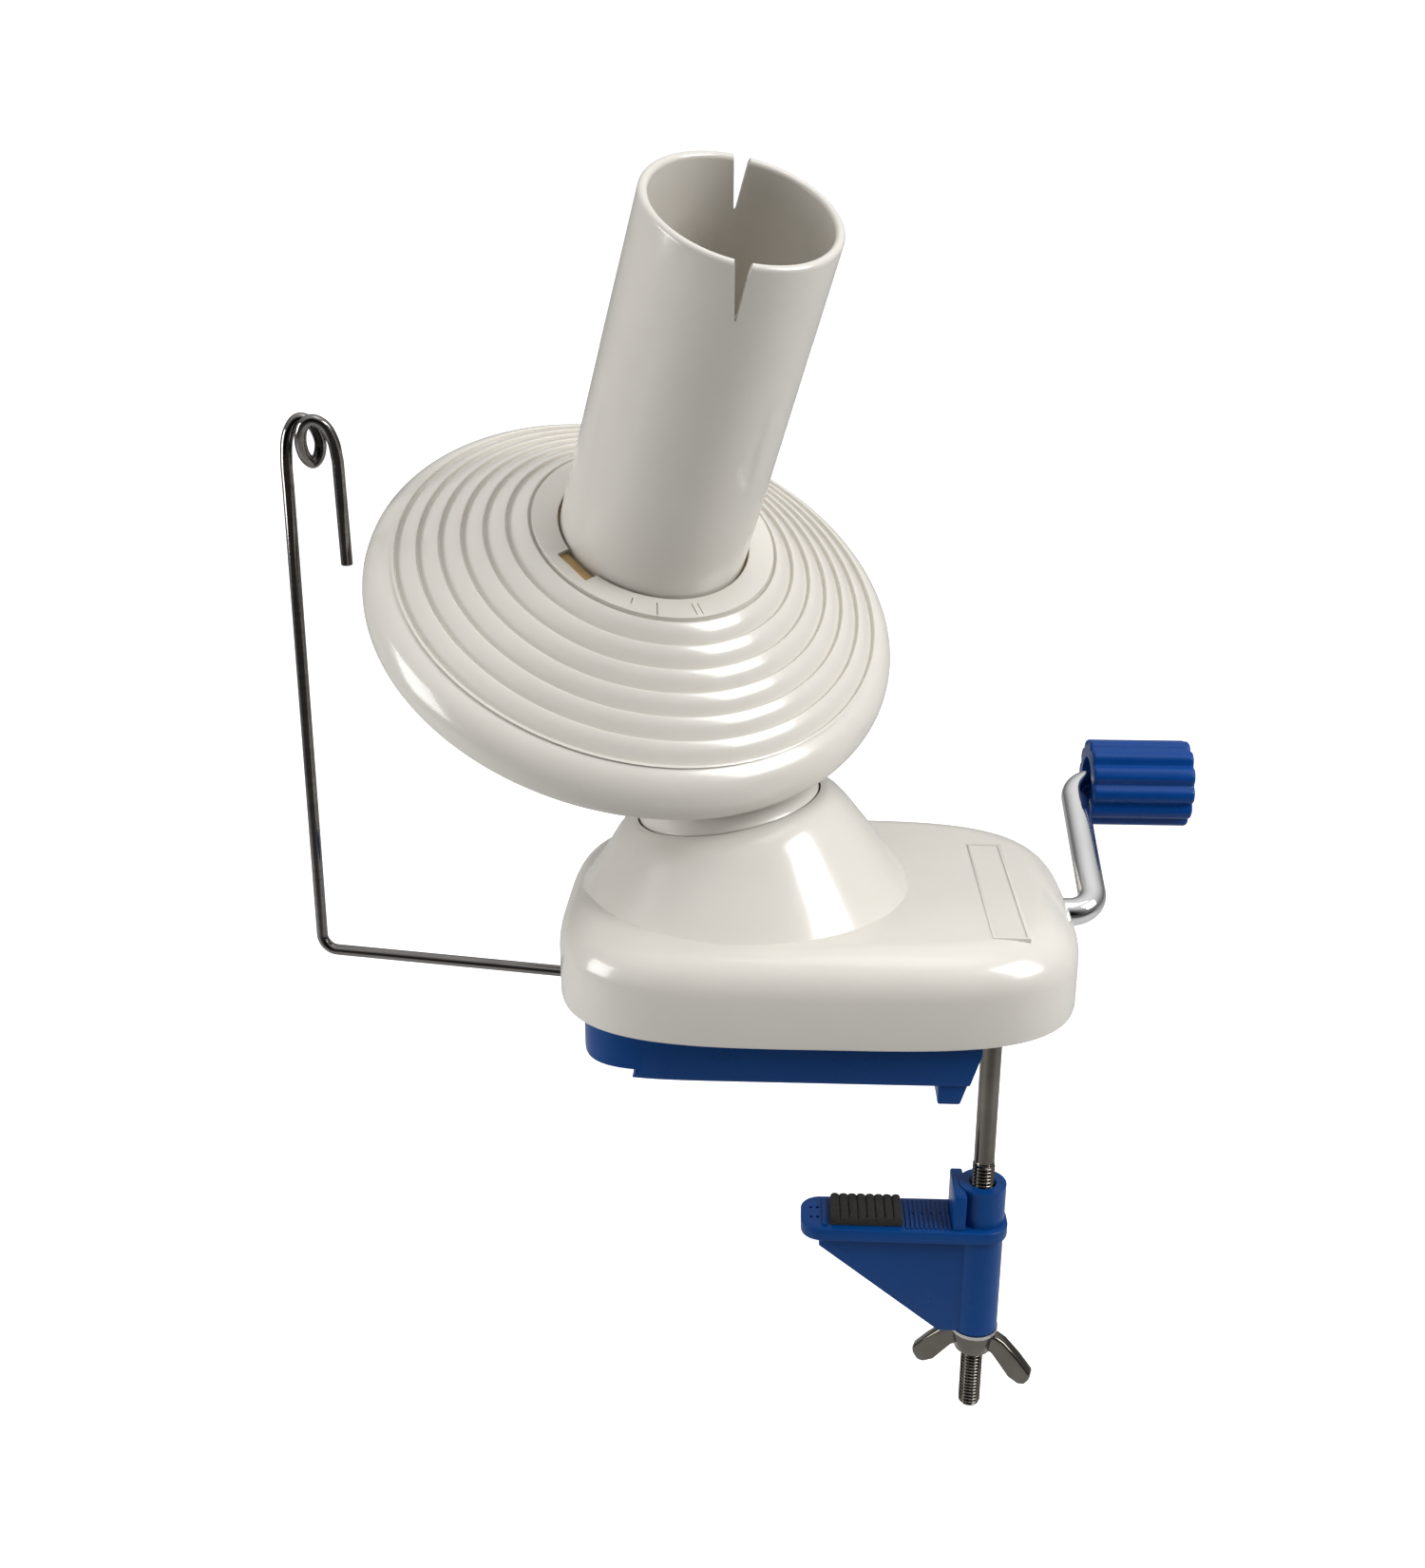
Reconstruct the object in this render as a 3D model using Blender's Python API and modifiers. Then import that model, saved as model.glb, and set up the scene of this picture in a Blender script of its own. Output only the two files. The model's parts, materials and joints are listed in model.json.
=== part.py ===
"""Hand-cranked ball winder for yarn, clamped on a table edge.

Units are metres, +Z up. The origin is on the flat underside of the base tray,
the face that lies on the table, below the main axis. +X runs along the casing
from the main axis to the crank, -Y is the side that faces the user.

Two inclined axes drive the design:
  main axis   leans from the vertical towards -X; the rotor turns about it
  spool axis  is carried by the rotor and crosses the main axis at the middle
              of the winding tube, so the ball stays centred while it is wound
"""

import math

import bmesh
import bpy
from mathutils import Matrix, Vector

MM = 0.001

# ---------------------------------------------------------------- dimensions
# all in millimetres and degrees
SEAM_Z = 54.5          # height of the centre of the joint between rotor and cover
LEAN = 10.5            # lean of the main axis towards -X
CROSS_T = 76.4         # main axis: distance from the seam to the crossing point
TILT = 37.94           # angle between the main axis and the spool axis
REST_TURN = -48.91     # rotor angle at rest, from the +X side

COVER_X0 = 21.4        # casing centre along X
COVER_A = 61.0         # casing half length
COVER_B = 47.2         # casing half width
COVER_N = 3.6          # exponent of the casing's oval outline
COVER_BOTTOM = 13.4
COVER_WALL_TOP = 25.2
COVER_FILLET = 9.8
WALL = 2.4

TRAY_INSET = 4.6
TRAY_TOP = 17.0
TRAY_SHELF = 12.8       # top of the squarer lower part, just under the casing's edge
TRAY_N = 7.0            # exponent of the lower outline
TRAY_STEP_X = -20.0    # the shallow left end of the tray stops here
TRAY_STEP_Z = 2.5
TRAY_END_X = 49.0      # table stop
LUG_BOTTOM = -5.2

SHAFT_Z = 26.9         # crank shaft height
SHAFT_R = 3.4
GEAR_TEETH, PINION_TEETH = 30, 12
PINION_R = 6.6         # pitch radius at the large end
RING_TEETH, SUN_TEETH = 40, 8
RING_SLANT = 42.0      # cone distance of the spool's ring gear
PRESSURE = 25.0

DISK_R = 64.1
TUBE_TOP = 68.3        # along the spool axis from the crossing point
TUBE_R_TOP, TUBE_R_LOW = 20.7, 21.9

ROD_X = 66.0           # clamp screw
ROD_R = 2.65
THREAD_R = 2.9
ROD_END = -118.8
JAW_TOP = -60.0
JAW_BOSS_TOP = -49.4
JAW_BOTTOM = -93.0
PITCH = 1.0            # M6 coarse thread

GUIDE_Z = 4.9          # height of the guide wire's leg
WIRE_R = 1.4

SEG = 40               # facets round large turned pieces
SEG_S = 20             # facets round small ones

# ---------------------------------------------------------------- clean start
for ob in list(bpy.data.objects):
    bpy.data.objects.remove(ob, do_unlink=True)


def collection(name):
    c = bpy.data.collections.new(name)
    bpy.context.scene.collection.children.link(c)
    return c


PARTS = collection("ball_winder")
CUTTERS = collection("cutters")


def material(name, colour, roughness, metallic=0.0):
    m = bpy.data.materials.new(name)
    m.use_nodes = True
    p = m.node_tree.nodes["Principled BSDF"]
    p.inputs["Base Color"].default_value = (*colour, 1.0)
    p.inputs["Roughness"].default_value = roughness
    p.inputs["Metallic"].default_value = metallic
    m.diffuse_color = (*colour, 1.0)
    return m


IVORY = (0.80, 0.77, 0.70)
BLUE = (0.012, 0.055, 0.26)
STEEL = (0.55, 0.54, 0.52)


def mat_for(name, colour, roughness, metallic=0.0):
    return material("mat_" + name, colour, roughness, metallic)


def add(name, mesh, mat, parent=None, matrix=None, cutter=False):
    ob = bpy.data.objects.new(name, mesh)
    (CUTTERS if cutter else PARTS).objects.link(ob)
    if mat is not None:
        mesh.materials.clear()
        mesh.materials.append(mat)
    if parent is not None:
        ob.parent = parent
    if matrix is not None:
        ob.matrix_local = matrix
    if cutter:
        ob.hide_render = True
        ob.display_type = "WIRE"
    return ob


def mesh_of(name, bm, smooth=True):
    bmesh.ops.recalc_face_normals(bm, faces=bm.faces)
    me = bpy.data.meshes.new(name)
    bm.to_mesh(me)
    bm.free()
    if smooth:
        me.shade_smooth()
        me.set_sharp_from_angle(angle=math.radians(35))
    return me


def at(x=0, y=0, z=0):
    return Matrix.Translation(Vector((x, y, z)) * MM)


def rot(deg, axis):
    return Matrix.Rotation(math.radians(deg), 4, axis)


def turned(name, profile, mat, steps=SEG, parent=None, matrix=None, cutter=False):
    """Profile (radius, height) in mm, run down the outer side, turned by a Screw."""
    bm = bmesh.new()
    vs = [bm.verts.new((r * MM, 0, z * MM)) for r, z in profile]
    closed = profile[0][0] > 1e-6
    for a, b in zip(vs, vs[1:]):
        bm.edges.new((a, b))
    if closed:
        bm.edges.new((vs[-1], vs[0]))
    me = bpy.data.meshes.new(name)
    bm.to_mesh(me)
    bm.free()
    ob = add(name, me, mat, parent, matrix, cutter)
    s = ob.modifiers.new("turn", "SCREW")
    s.axis = "Z"
    s.angle = math.tau
    s.steps = steps
    s.render_steps = steps
    s.use_merge_vertices = True
    s.merge_threshold = 0.000001
    s.use_smooth_shade = True
    return ob


def ring_profile(r_out, r_in, top, bottom, chamfer=0.0):
    """Closed section of a bush or washer."""
    c = chamfer
    if c:
        return [(r_in, top), (r_out - c, top), (r_out, top - c), (r_out, bottom + c), (r_out - c, bottom), (r_in, bottom)]
    return [(r_in, top), (r_out, top), (r_out, bottom), (r_in, bottom)]


def rod_profile(r, top, bottom, chamfer=0.0):
    c = chamfer
    if c:
        return [(0, top), (r - c, top), (r, top - c), (r, bottom + c), (r - c, bottom), (0, bottom)]
    return [(0, top), (r, top), (r, bottom), (0, bottom)]


def box_mesh(name, x0, x1, y0, y1, z0, z1):
    bm = bmesh.new()
    m = Matrix.Translation(Vector(((x0 + x1) / 2, (y0 + y1) / 2, (z0 + z1) / 2)) * MM) @ Matrix.Diagonal(
        Vector(((x1 - x0) * MM, (y1 - y0) * MM, (z1 - z0) * MM, 1))
    )
    bmesh.ops.create_cube(bm, size=1.0, matrix=m)
    return mesh_of(name, bm, smooth=False)


def cylinder_mesh(name, r, depth, segments=SEG_S, matrix=None, r2=None):
    """Along local Z, centred."""
    bm = bmesh.new()
    bmesh.ops.create_cone(
        bm, cap_ends=True, segments=segments, radius1=r * MM, radius2=(r if r2 is None else r2) * MM,
        depth=depth * MM, matrix=matrix or Matrix.Identity(4),
    )
    return mesh_of(name, bm)


def prism_mesh(name, outline, z0, z1, matrix=None):
    """Flat outline (x, y) in mm extruded from z0 to z1."""
    bm = bmesh.new()
    face = bm.faces.new([bm.verts.new((x * MM, y * MM, z0 * MM)) for x, y in outline])
    out = bmesh.ops.extrude_face_region(bm, geom=[face])
    verts = [g for g in out["geom"] if isinstance(g, bmesh.types.BMVert)]
    bmesh.ops.translate(bm, verts=verts, vec=(0, 0, (z1 - z0) * MM))
    if matrix is not None:
        bmesh.ops.transform(bm, matrix=matrix, verts=bm.verts)
    return mesh_of(name, bm)


def loft_mesh(name, rings, caps=True):
    """Closed solid through rings of equal point count (points in mm)."""
    bm = bmesh.new()
    loops = [[bm.verts.new(Vector(p) * MM) for p in ring] for ring in rings]
    n = len(loops[0])
    for a, b in zip(loops, loops[1:]):
        for i in range(n):
            j = (i + 1) % n
            bm.faces.new((a[i], a[j], b[j], b[i]))
    if caps:
        bm.faces.new(loops[0][::-1])
        bm.faces.new(loops[-1])
    else:
        a, b = loops[-1], loops[0]
        for i in range(n):
            j = (i + 1) % n
            bm.faces.new((a[i], a[j], b[j], b[i]))
    return mesh_of(name, bm)


def boolean(ob, cutter, operation="DIFFERENCE"):
    m = ob.modifiers.new(operation.lower() + "_" + cutter.name, "BOOLEAN")
    m.operation = operation
    m.solver = "EXACT"
    m.object = cutter
    return m


def cut(ob, mesh, operation="DIFFERENCE", parent=None, matrix=None):
    c = add("cut_" + mesh.name, mesh, None, parent, matrix, cutter=True)
    boolean(ob, c, operation)
    return c


def cut_turned(ob, name, profile, operation="DIFFERENCE", steps=SEG_S, parent=None, matrix=None):
    c = turned("cut_" + name, profile, None, steps, parent, matrix, cutter=True)
    boolean(ob, c, operation)
    return c


def wire_mesh(name, points, radius, resolution=2):
    """Round wire along a poly line, made a closed mesh with welded caps."""
    cu = bpy.data.curves.new(name, "CURVE")
    cu.dimensions = "3D"
    cu.bevel_depth = radius * MM
    cu.bevel_resolution = resolution
    cu.use_fill_caps = True
    sp = cu.splines.new("POLY")
    sp.points.add(len(points) - 1)
    for p, q in zip(sp.points, points):
        p.co = (*(Vector(q) * MM), 1.0)
    ob = bpy.data.objects.new(name + "_curve", cu)
    PARTS.objects.link(ob)
    bpy.context.view_layer.update()
    me = bpy.data.meshes.new_from_object(ob.evaluated_get(bpy.context.evaluated_depsgraph_get()))
    bpy.data.objects.remove(ob, do_unlink=True)
    bm = bmesh.new()
    bm.from_mesh(me)
    bmesh.ops.remove_doubles(bm, verts=bm.verts, dist=0.000001)
    bpy.data.meshes.remove(me)
    return mesh_of(name, bm)


def oval(a, b, n, count, x0=0.0, y0=0.0):
    """Points of a superellipse, counter-clockwise."""
    pts = []
    for i in range(count):
        t = math.tau * i / count
        c, s = math.cos(t), math.sin(t)
        pts.append((
            x0 + a * math.copysign(abs(c) ** (2 / n), c),
            y0 + b * math.copysign(abs(s) ** (2 / n), s),
        ))
    return pts


def smooth_path(points, per=6):
    """Catmull-Rom through the given points."""
    pts = [Vector(p) for p in points]
    ext = [pts[0] * 2 - pts[1]] + pts + [pts[-1] * 2 - pts[-2]]
    out = []
    for i in range(1, len(ext) - 2):
        p0, p1, p2, p3 = ext[i - 1:i + 3]
        for k in range(per):
            t = k / per
            out.append(0.5 * ((2 * p1) + (p2 - p0) * t + (2 * p0 - 5 * p1 + 4 * p2 - p3) * t * t + (3 * p1 - p0 - 3 * p2 + p3) * t ** 3))
    out.append(pts[-1])
    return out


def fillet_path(points, radii, steps=5):
    """Straight runs joined by arcs of the given radii at the inner points."""
    pts = [Vector(p) for p in points]
    out = [pts[0]]
    for i in range(1, len(pts) - 1):
        r = radii[i - 1]
        a = (pts[i - 1] - pts[i]).normalized()
        b = (pts[i + 1] - pts[i]).normalized()
        half = a.angle(b) / 2
        d = r / math.tan(half)
        c = pts[i] + (a + b).normalized() * (r / math.sin(half))
        s, e = pts[i] + a * d - c, pts[i] + b * d - c
        total = s.angle(e)
        axis = s.cross(e).normalized()
        for k in range(steps + 1):
            out.append(c + Matrix.Rotation(total * k / steps, 3, axis) @ s)
    out.append(pts[-1])
    return out


def involute(a):
    return math.tan(a) - a


def bevel_gear_mesh(name, teeth, half_angle, slant, face, bore, thickness, back, phase=0.0, front=None):
    """Straight bevel gear whose pitch cone has its apex at the local origin and
    opens along +Z. Tooth sections follow the involute of the back cone's
    virtual spur gear and shrink towards the apex. back is the height of the
    flat rear face behind the large end, thickness the tooth thickness factor."""
    d = math.radians(half_angle)
    r_pitch = slant * math.sin(d)
    module = 2 * r_pitch / teeth
    rv = r_pitch / math.cos(d)
    pa = math.radians(PRESSURE)
    rb = rv * math.cos(pa)
    nv = teeth / math.cos(d)
    add_h, ded_h = 0.75 * module, 0.95 * module

    def half_width(y):
        r = rv + y
        base = math.pi / (2 * nv) * thickness + involute(pa)
        al = math.acos(min(1.0, rb / r)) if r > rb else 0.0
        return max(0.0, (base - involute(al))) * r

    heights = [-ded_h, add_h]

    def section(scale):
        loop = []
        for k in range(teeth):
            mid = math.tau * (k + phase) / teeth
            side = []
            for y in heights:
                r = r_pitch + y * math.cos(d)
                z = slant * math.cos(d) - y * math.sin(d)
                side.append((half_width(y) / r, r * scale, z * scale))
            for a, r, z in side:
                loop.append((r * math.cos(mid - a), r * math.sin(mid - a), z))
            for a, r, z in reversed(side):
                loop.append((r * math.cos(mid + a), r * math.sin(mid + a), z))
        return loop

    outer = section(1.0)
    inner = section((slant - face) / slant)
    count = len(outer)
    angles = [math.atan2(p[1], p[0]) for p in outer]
    z_back = slant * math.cos(d) + ded_h * math.sin(d) + back
    z_front = front if front is not None else min(p[2] for p in inner)
    r_back = r_pitch - ded_h * math.cos(d) - 0.3

    def circle(r, z):
        return [(r * math.cos(a), r * math.sin(a), z) for a in angles]

    rings = [circle(bore, z_front), inner, outer, circle(r_back, z_back), circle(bore, z_back)]
    return loft_mesh(name, rings, caps=False)


# ---------------------------------------------------------------- axes
def empty(name, parent=None, matrix=None):
    e = bpy.data.objects.new(name, None)
    PARTS.objects.link(e)
    e.empty_display_size = 0.02
    if parent is not None:
        e.parent = parent
    if matrix is not None:
        e.matrix_local = matrix
    return e


# main_fixed: the main axis as a fixed frame, local Z up the axis, local X in the casing's plane
main_fixed = empty("main_axis_fixed", None, at(0, 0, SEAM_Z) @ rot(-LEAN, "Y"))
# rotor_axis: the same frame turned with the rotor, local X on the side the spool leans to
rotor_axis = empty("rotor_axis", None, at(0, 0, SEAM_Z) @ rot(-LEAN, "Y") @ rot(REST_TURN, "Z"))
# spool_axis: origin at the crossing point, local Z along the winding tube
spool_axis = empty("spool_axis", rotor_axis, at(0, 0, CROSS_T) @ rot(TILT, "Y"))
crank_axis = empty("crank_axis", None, at(0, 0, SHAFT_Z) @ rot(90, "Y"))

lean = math.radians(LEAN)
tilt = math.radians(TILT)

# ---------------------------------------------------------------- cover
cover_mat = mat_for("cover", IVORY, 0.22)
OUTLINE = 48


def cover_rings(inset, bottom, count=OUTLINE):
    rings = []
    z_wall = COVER_WALL_TOP
    rings.append((COVER_A - inset, COVER_B - inset, bottom))
    for ang in (0, 18, 36, 54, 72, 90):
        a = math.radians(ang)
        f = COVER_FILLET - inset
        rings.append((
            COVER_A - inset - f * (1 - math.cos(a)), COVER_B - inset - f * (1 - math.cos(a)), z_wall + f * math.sin(a)))
    return [[(x, y, z) for x, y in oval(a, b, COVER_N, count, COVER_X0)] for a, b, z in rings]


def cone_rings(inset, table, count=36):
    """Leaning cone of the neck: rings that swing from the deck's plane to the
    plane square to the main axis. table holds (k, radius)."""
    out = []
    for k, r in table:
        cx, cz = 3.9 * k, SEAM_Z - 20.5 * k
        tl = math.radians(LEAN * (1 - min(k, 1.0)) + 1.5 * min(k, 1.0))
        ring = []
        for i in range(count):
            t = math.tau * i / count
            x, y = (r - inset) * math.cos(t), (r - inset) * math.sin(t)
            ring.append((cx + x * math.cos(tl), y, cz + x * math.sin(tl)))
        out.append(ring)
    return out


cover = add("cover", loft_mesh("cover", cover_rings(0, COVER_BOTTOM)), cover_mat)
CONE = [(1.35, 39.6), (1.0, 39.6), (0.75, 36.0), (0.5, 32.4), (0.28, 29.3), (0.14, 27.2), (0.05, 25.4), (0.0, 23.6)]
cut(cover, loft_mesh("cone_outer", cone_rings(0, CONE)), "UNION")
cut(cover, loft_mesh("cover_cavity", cover_rings(WALL, COVER_BOTTOM - 2)))
CAVITY = [(1.6, 39.6), (1.0, 39.6), (0.75, 36.0), (0.5, 32.4), (0.42, 31.3)]
cut(cover, loft_mesh("cone_cavity", cone_rings(WALL, CAVITY)))
# the mouth in which the rotor turns, and the bearing seat in its floor
cut_turned(cover, "mouth", rod_profile(22.3, 6.0, -5.6), steps=36, parent=main_fixed)
cut_turned(cover, "neck_bore", rod_profile(6.15, 0.0, -20.0), parent=main_fixed)
# way out for the crank shaft
cut(cover, cylinder_mesh("shaft_way", 3.9, 30, matrix=at(84, 0, SHAFT_Z) @ rot(90, "Y")))

# cover bosses for the four screws, hung from the deck
SCREWS = [(-25, -23), (-25, 23), (42, -27), (42, 27)]
for i, (x, y) in enumerate(SCREWS):
    cut(cover, cylinder_mesh("boss_%d" % i, 3.6, 20.6, 16, at(x, y, 23.7)), "UNION")
    cut(cover, cylinder_mesh("boss_hole_%d" % i, 1.75, 14.0, 16, at(x, y, 18.0)))

# ---------------------------------------------------------------- base tray
tray_mat = mat_for("base_tray", BLUE, 0.35)


def tray_outline(inset):
    return oval(COVER_A - inset - 1.8, COVER_B - inset - 4.2, COVER_N, OUTLINE, COVER_X0)


def clipped(x0, x1):
    """Inner outline of the tray between two x."""
    fine = oval(COVER_A - TRAY_INSET - 4.1, COVER_B - TRAY_INSET - 6.5, COVER_N, 120, COVER_X0)
    return [(x, y) for x, y in fine if x0 <= x <= x1]


tray = add("base_tray", prism_mesh("base_tray", oval(COVER_A - TRAY_INSET - 1.8, COVER_B - TRAY_INSET - 4.2, TRAY_N, OUTLINE, COVER_X0), 0, TRAY_SHELF), tray_mat)
cut(tray, prism_mesh("tray_collar", tray_outline(TRAY_INSET + 0.4), 5, TRAY_TOP), "UNION")
# shallow left end, and the end beyond the table stop
cut(tray, box_mesh("tray_left", -60, TRAY_STEP_X, -60, 60, -5, TRAY_STEP_Z))
cut(tray, prism_mesh("tray_right", [(54.3, -9), (100, -9), (100, 20), (58.4, 20), (58.4, 8.0), (54.3, -5.2)], -60, 60, rot(90, "X")))
cut(tray, prism_mesh("tray_hollow_left", clipped(-33.0, -20.2), TRAY_STEP_Z + 0.75, 20))
cut(tray, prism_mesh("tray_hollow", clipped(-17.8, 46.4), 2.6, 20))
cut(tray, box_mesh("step_rib_top", -21.0, -17.0, -33, 33, 10.0, 20))
cut(tray, box_mesh("right_shelf", 46.0, 100, -34, 34, 13.0, 20))
# right arm that carries the clamp rod, hidden under the casing
cut(tray, box_mesh("tray_arm", 47, 74.6, -15, 15, 4.5, 12.9), "UNION")
cut(tray, box_mesh("tray_arm_hollow", 50.5, 72.4, -12.8, 12.8, 6.8, 20))
cut(tray, cylinder_mesh("rod_boss", 6.6, 10, SEG_S, at(ROD_X, 0, 8.2)), "UNION")
# table stop: trapezoid rib across the tray
cut(tray, prism_mesh(
    "stop_rib", [(TRAY_END_X, LUG_BOTTOM), (54.2, LUG_BOTTOM), (58.3, 8.0), (TRAY_END_X, 8.0)], -37, 37,
    rot(90, "X")), "UNION")
cut(tray, cylinder_mesh("rod_way", ROD_R + 0.15, 40, SEG_S, at(ROD_X, 0, 0)))
cut(tray, box_mesh("rod_bend_way", 59.0, ROD_X, -2.9, 2.9, 6.9, 20))
cut(tray, box_mesh("rod_groove", 52.5, ROD_X + 0.1, -2.9, 2.9, 10.1, 20))
# two uprights for the crank bushes
cut(tray, box_mesh("upright_in", 33.0, 37.0, -8, 8, 1.0, 32.4), "UNION")
cut(tray, box_mesh("upright_out", 69.4, 73.4, -8, 8, 5.0, 31.6), "UNION")
cut(tray, cylinder_mesh("bush_seats", 4.65, 120, SEG_S, at(60, 0, SHAFT_Z) @ rot(90, "Y")))
# footstep that holds the centre post, on the main axis
FOOT_T = -(SEAM_Z - 3.4) / math.cos(lean)
cut_turned(tray, "footstep", rod_profile(5.2, FOOT_T + 3.1, FOOT_T - 1.4), "UNION", parent=main_fixed)
cut_turned(tray, "post_socket", rod_profile(1.9, FOOT_T + 6, FOOT_T - 0.6), parent=main_fixed)
# screw posts under the cover's bosses
for i, (x, y) in enumerate(SCREWS):
    cut(tray, cylinder_mesh("tray_post_%d" % i, 3.7, 11.1, 20, at(x, y, 7.25)), "UNION")
    cut(tray, cylinder_mesh("boss_room_%d" % i, 4.2, 8.0, 20, at(x, y, 17.1)))
    cut(tray, cylinder_mesh("screw_way_%d" % i, 1.75, 40, 16, at(x, y, 10)))
    cut(tray, cylinder_mesh("screw_head_way_%d" % i, 3.2, 9.0, 16, at(x, y, TRAY_STEP_Z if x < 0 else 0.5)))
# the leg of the yarn guide passes the left wall and lies in two cradles
LEG_A = Vector((-38.0, 6.5, GUIDE_Z))
LEG_DIR = Vector((-math.cos(math.radians(9.6)), math.sin(math.radians(9.6)), 0.0))
leg_yaw = math.atan2(-LEG_DIR.y, -LEG_DIR.x)


def along_leg(d):
    """Frame on the guide's leg, d mm inwards from the wall, local Z along the leg."""
    p = LEG_A - LEG_DIR * d
    return Matrix.Translation(p * MM) @ Matrix.Rotation(leg_yaw, 4, "Z") @ rot(90, "Y")


cut(tray, cylinder_mesh("guide_way", WIRE_R + 0.15, 60, 16, along_leg(20)))

# ---------------------------------------------------------------- centre post and bearings
steel = lambda n, rough=0.3: mat_for(n, STEEL, rough, 1.0)
POST_TOP = CROSS_T - RING_SLANT * math.cos(math.radians(6.1)) + 6.0
post = turned("centre_post", rod_profile(1.75, POST_TOP, FOOT_T - 0.3, 0.3), steel("centre_post"), SEG_S, main_fixed)
turned("neck_bush", [(3.25, -4.9), (8.0, -4.9), (8.0, -5.4), (6.0, -5.4), (6.0, -11.0), (3.25, -11.0)],
       mat_for("neck_bush", (0.65, 0.47, 0.22), 0.4, 1.0), SEG_S, main_fixed)

# ---------------------------------------------------------------- crank gear pair
SIGMA = 90.0 - LEAN    # angle between the shaft (+X) and the main axis (downwards)
sg = math.radians(SIGMA)
ratio = GEAR_TEETH / PINION_TEETH
D_PIN = math.degrees(math.atan(math.sin(sg) / (ratio + math.cos(sg))))
D_GEAR = SIGMA - D_PIN
SLANT = PINION_R / math.sin(math.radians(D_PIN))
APEX_T = -(SEAM_Z - SHAFT_Z) / math.cos(lean)
APEX_X = -APEX_T * math.sin(lean)

# gear on the shaft: local Z along +X, apex at the origin, tooth 0 towards the pinion
gear_frame = at(APEX_X, 0, SHAFT_Z) @ rot(90, "Y")
drive_gear = add("drive_gear", bevel_gear_mesh("drive_gear", GEAR_TEETH, D_GEAR, SLANT, 5.5, 3.55, 0.76, 1.2, 0.0), mat_for("drive_gear", (0.75, 0.74, 0.70), 0.45), matrix=gear_frame)
cut_turned(drive_gear, "gear_hub", ring_profile(6.4, 3.55, 24.5, 13.0), "UNION", parent=crank_axis, matrix=at(0, 0, 0))
cut(drive_gear, cylinder_mesh("set_screw_way", 1.5, 9, 16, at(21.0, 0, SHAFT_Z + 6.0)))
turned("gear_set_screw", rod_profile(1.3, 8.6, 3.7), steel("gear_set_screw"), 16, crank_axis, rot(-90, "Y") @ at(21.0, 0, 0))

# pinion on the rotor shaft: local Z down the main axis, half a tooth out of phase
pin_frame = at(APEX_X, 0, SHAFT_Z) @ rot(-LEAN, "Y") @ rot(180, "X")
pinion = add("pinion", bevel_gear_mesh("pinion", PINION_TEETH, D_PIN, SLANT, 5.5, 3.25, 0.76, 0.9, 0.5), mat_for("pinion", (0.65, 0.47, 0.22), 0.35, 1.0), matrix=pin_frame)

# rib under the deck that keeps the clamp rod's bent end down in its groove
cut(cover, box_mesh("rod_rib", 56.0, 58.6, -7, 7, 15.9, 33.5), "UNION")
cut(cover, cylinder_mesh("rod_rib_way", 4.4, 12, 20, matrix=at(57.3, 0, SHAFT_Z) @ rot(90, "Y")))

FOOT_TOP = FOOT_T + 3.1
turned("thrust_washer", ring_profile(5.0, 2.1, FOOT_TOP + 1.1, FOOT_TOP + 0.2), steel("thrust_washer"), SEG_S, main_fixed)

# ---------------------------------------------------------------- rotor
turned("rotor_shaft", ring_profile(3.1, 1.95, -0.4, -47.2), steel("rotor_shaft"), SEG_S, rotor_axis)

PLATFORM_Z = -45.0     # on the spool axis
PLATFORM_R = 24.0
PLATFORM_X = 16.0      # its centre, from the spool axis towards the main axis
NECK_R = 21.7
to_spool = at(0, 0, CROSS_T) @ rot(TILT, "Y")


def neck_ring(u, inset, floor=0.0, count=36):
    """Ring of the neck between the seam (u=0) and the platform (u=1), in the rotor's frame (mm)."""
    ring = []
    for i in range(count):
        t = math.tau * i / count
        a = Vector(((NECK_R - inset) * math.cos(t), (NECK_R - inset) * math.sin(t), floor))
        h = 5.0 - 4.0 * math.cos(t)
        b = a + Vector((0, 0, h))
        local = Vector((PLATFORM_X + (PLATFORM_R - inset) * math.cos(t), (PLATFORM_R - inset) * math.sin(t), PLATFORM_Z - (3.0 if inset else 0.0)))
        c = Vector((0, 0, CROSS_T)) + Matrix.Rotation(tilt, 3, "Y") @ local
        ring.append(tuple(a * (1 - u) ** 2 + b * 2 * u * (1 - u) + c * u * u))
    return ring


rotor_mat = mat_for("rotor", IVORY, 0.22)
skirt = [((NECK_R - 0.3) * math.cos(math.tau * i / 36), (NECK_R - 0.3) * math.sin(math.tau * i / 36), -4.4) for i in range(36)]
rotor = add("rotor", loft_mesh("rotor", [skirt] + [neck_ring(u, 0.0) for u in (0, 0.25, 0.5, 0.75, 1.0)]), rotor_mat, rotor_axis)
cut(rotor, loft_mesh("neck_hollow", [neck_ring(u, 2.0 + 4.4 * u, -1.9) for u in (0, 0.25, 0.5, 0.75, 1.0)]), parent=rotor_axis)
cut_turned(rotor, "shaft_seat", rod_profile(3.3, 4.0, -9.0), parent=rotor_axis)
cut_turned(rotor, "post_way", rod_profile(3.6, 60.0, 2.0), parent=rotor_axis)
# stub axle of the spool, on the platform
cut_turned(rotor, "stub", [(0, -14.0), (3.9, -14.0), (3.9, -41.0), (6.6, -44.5), (6.6, -47.5), (0, -47.5)], "UNION", parent=spool_axis)
cut_turned(rotor, "stub_bore", rod_profile(1.5, -10.0, -30.0), steps=16, parent=spool_axis)

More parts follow.
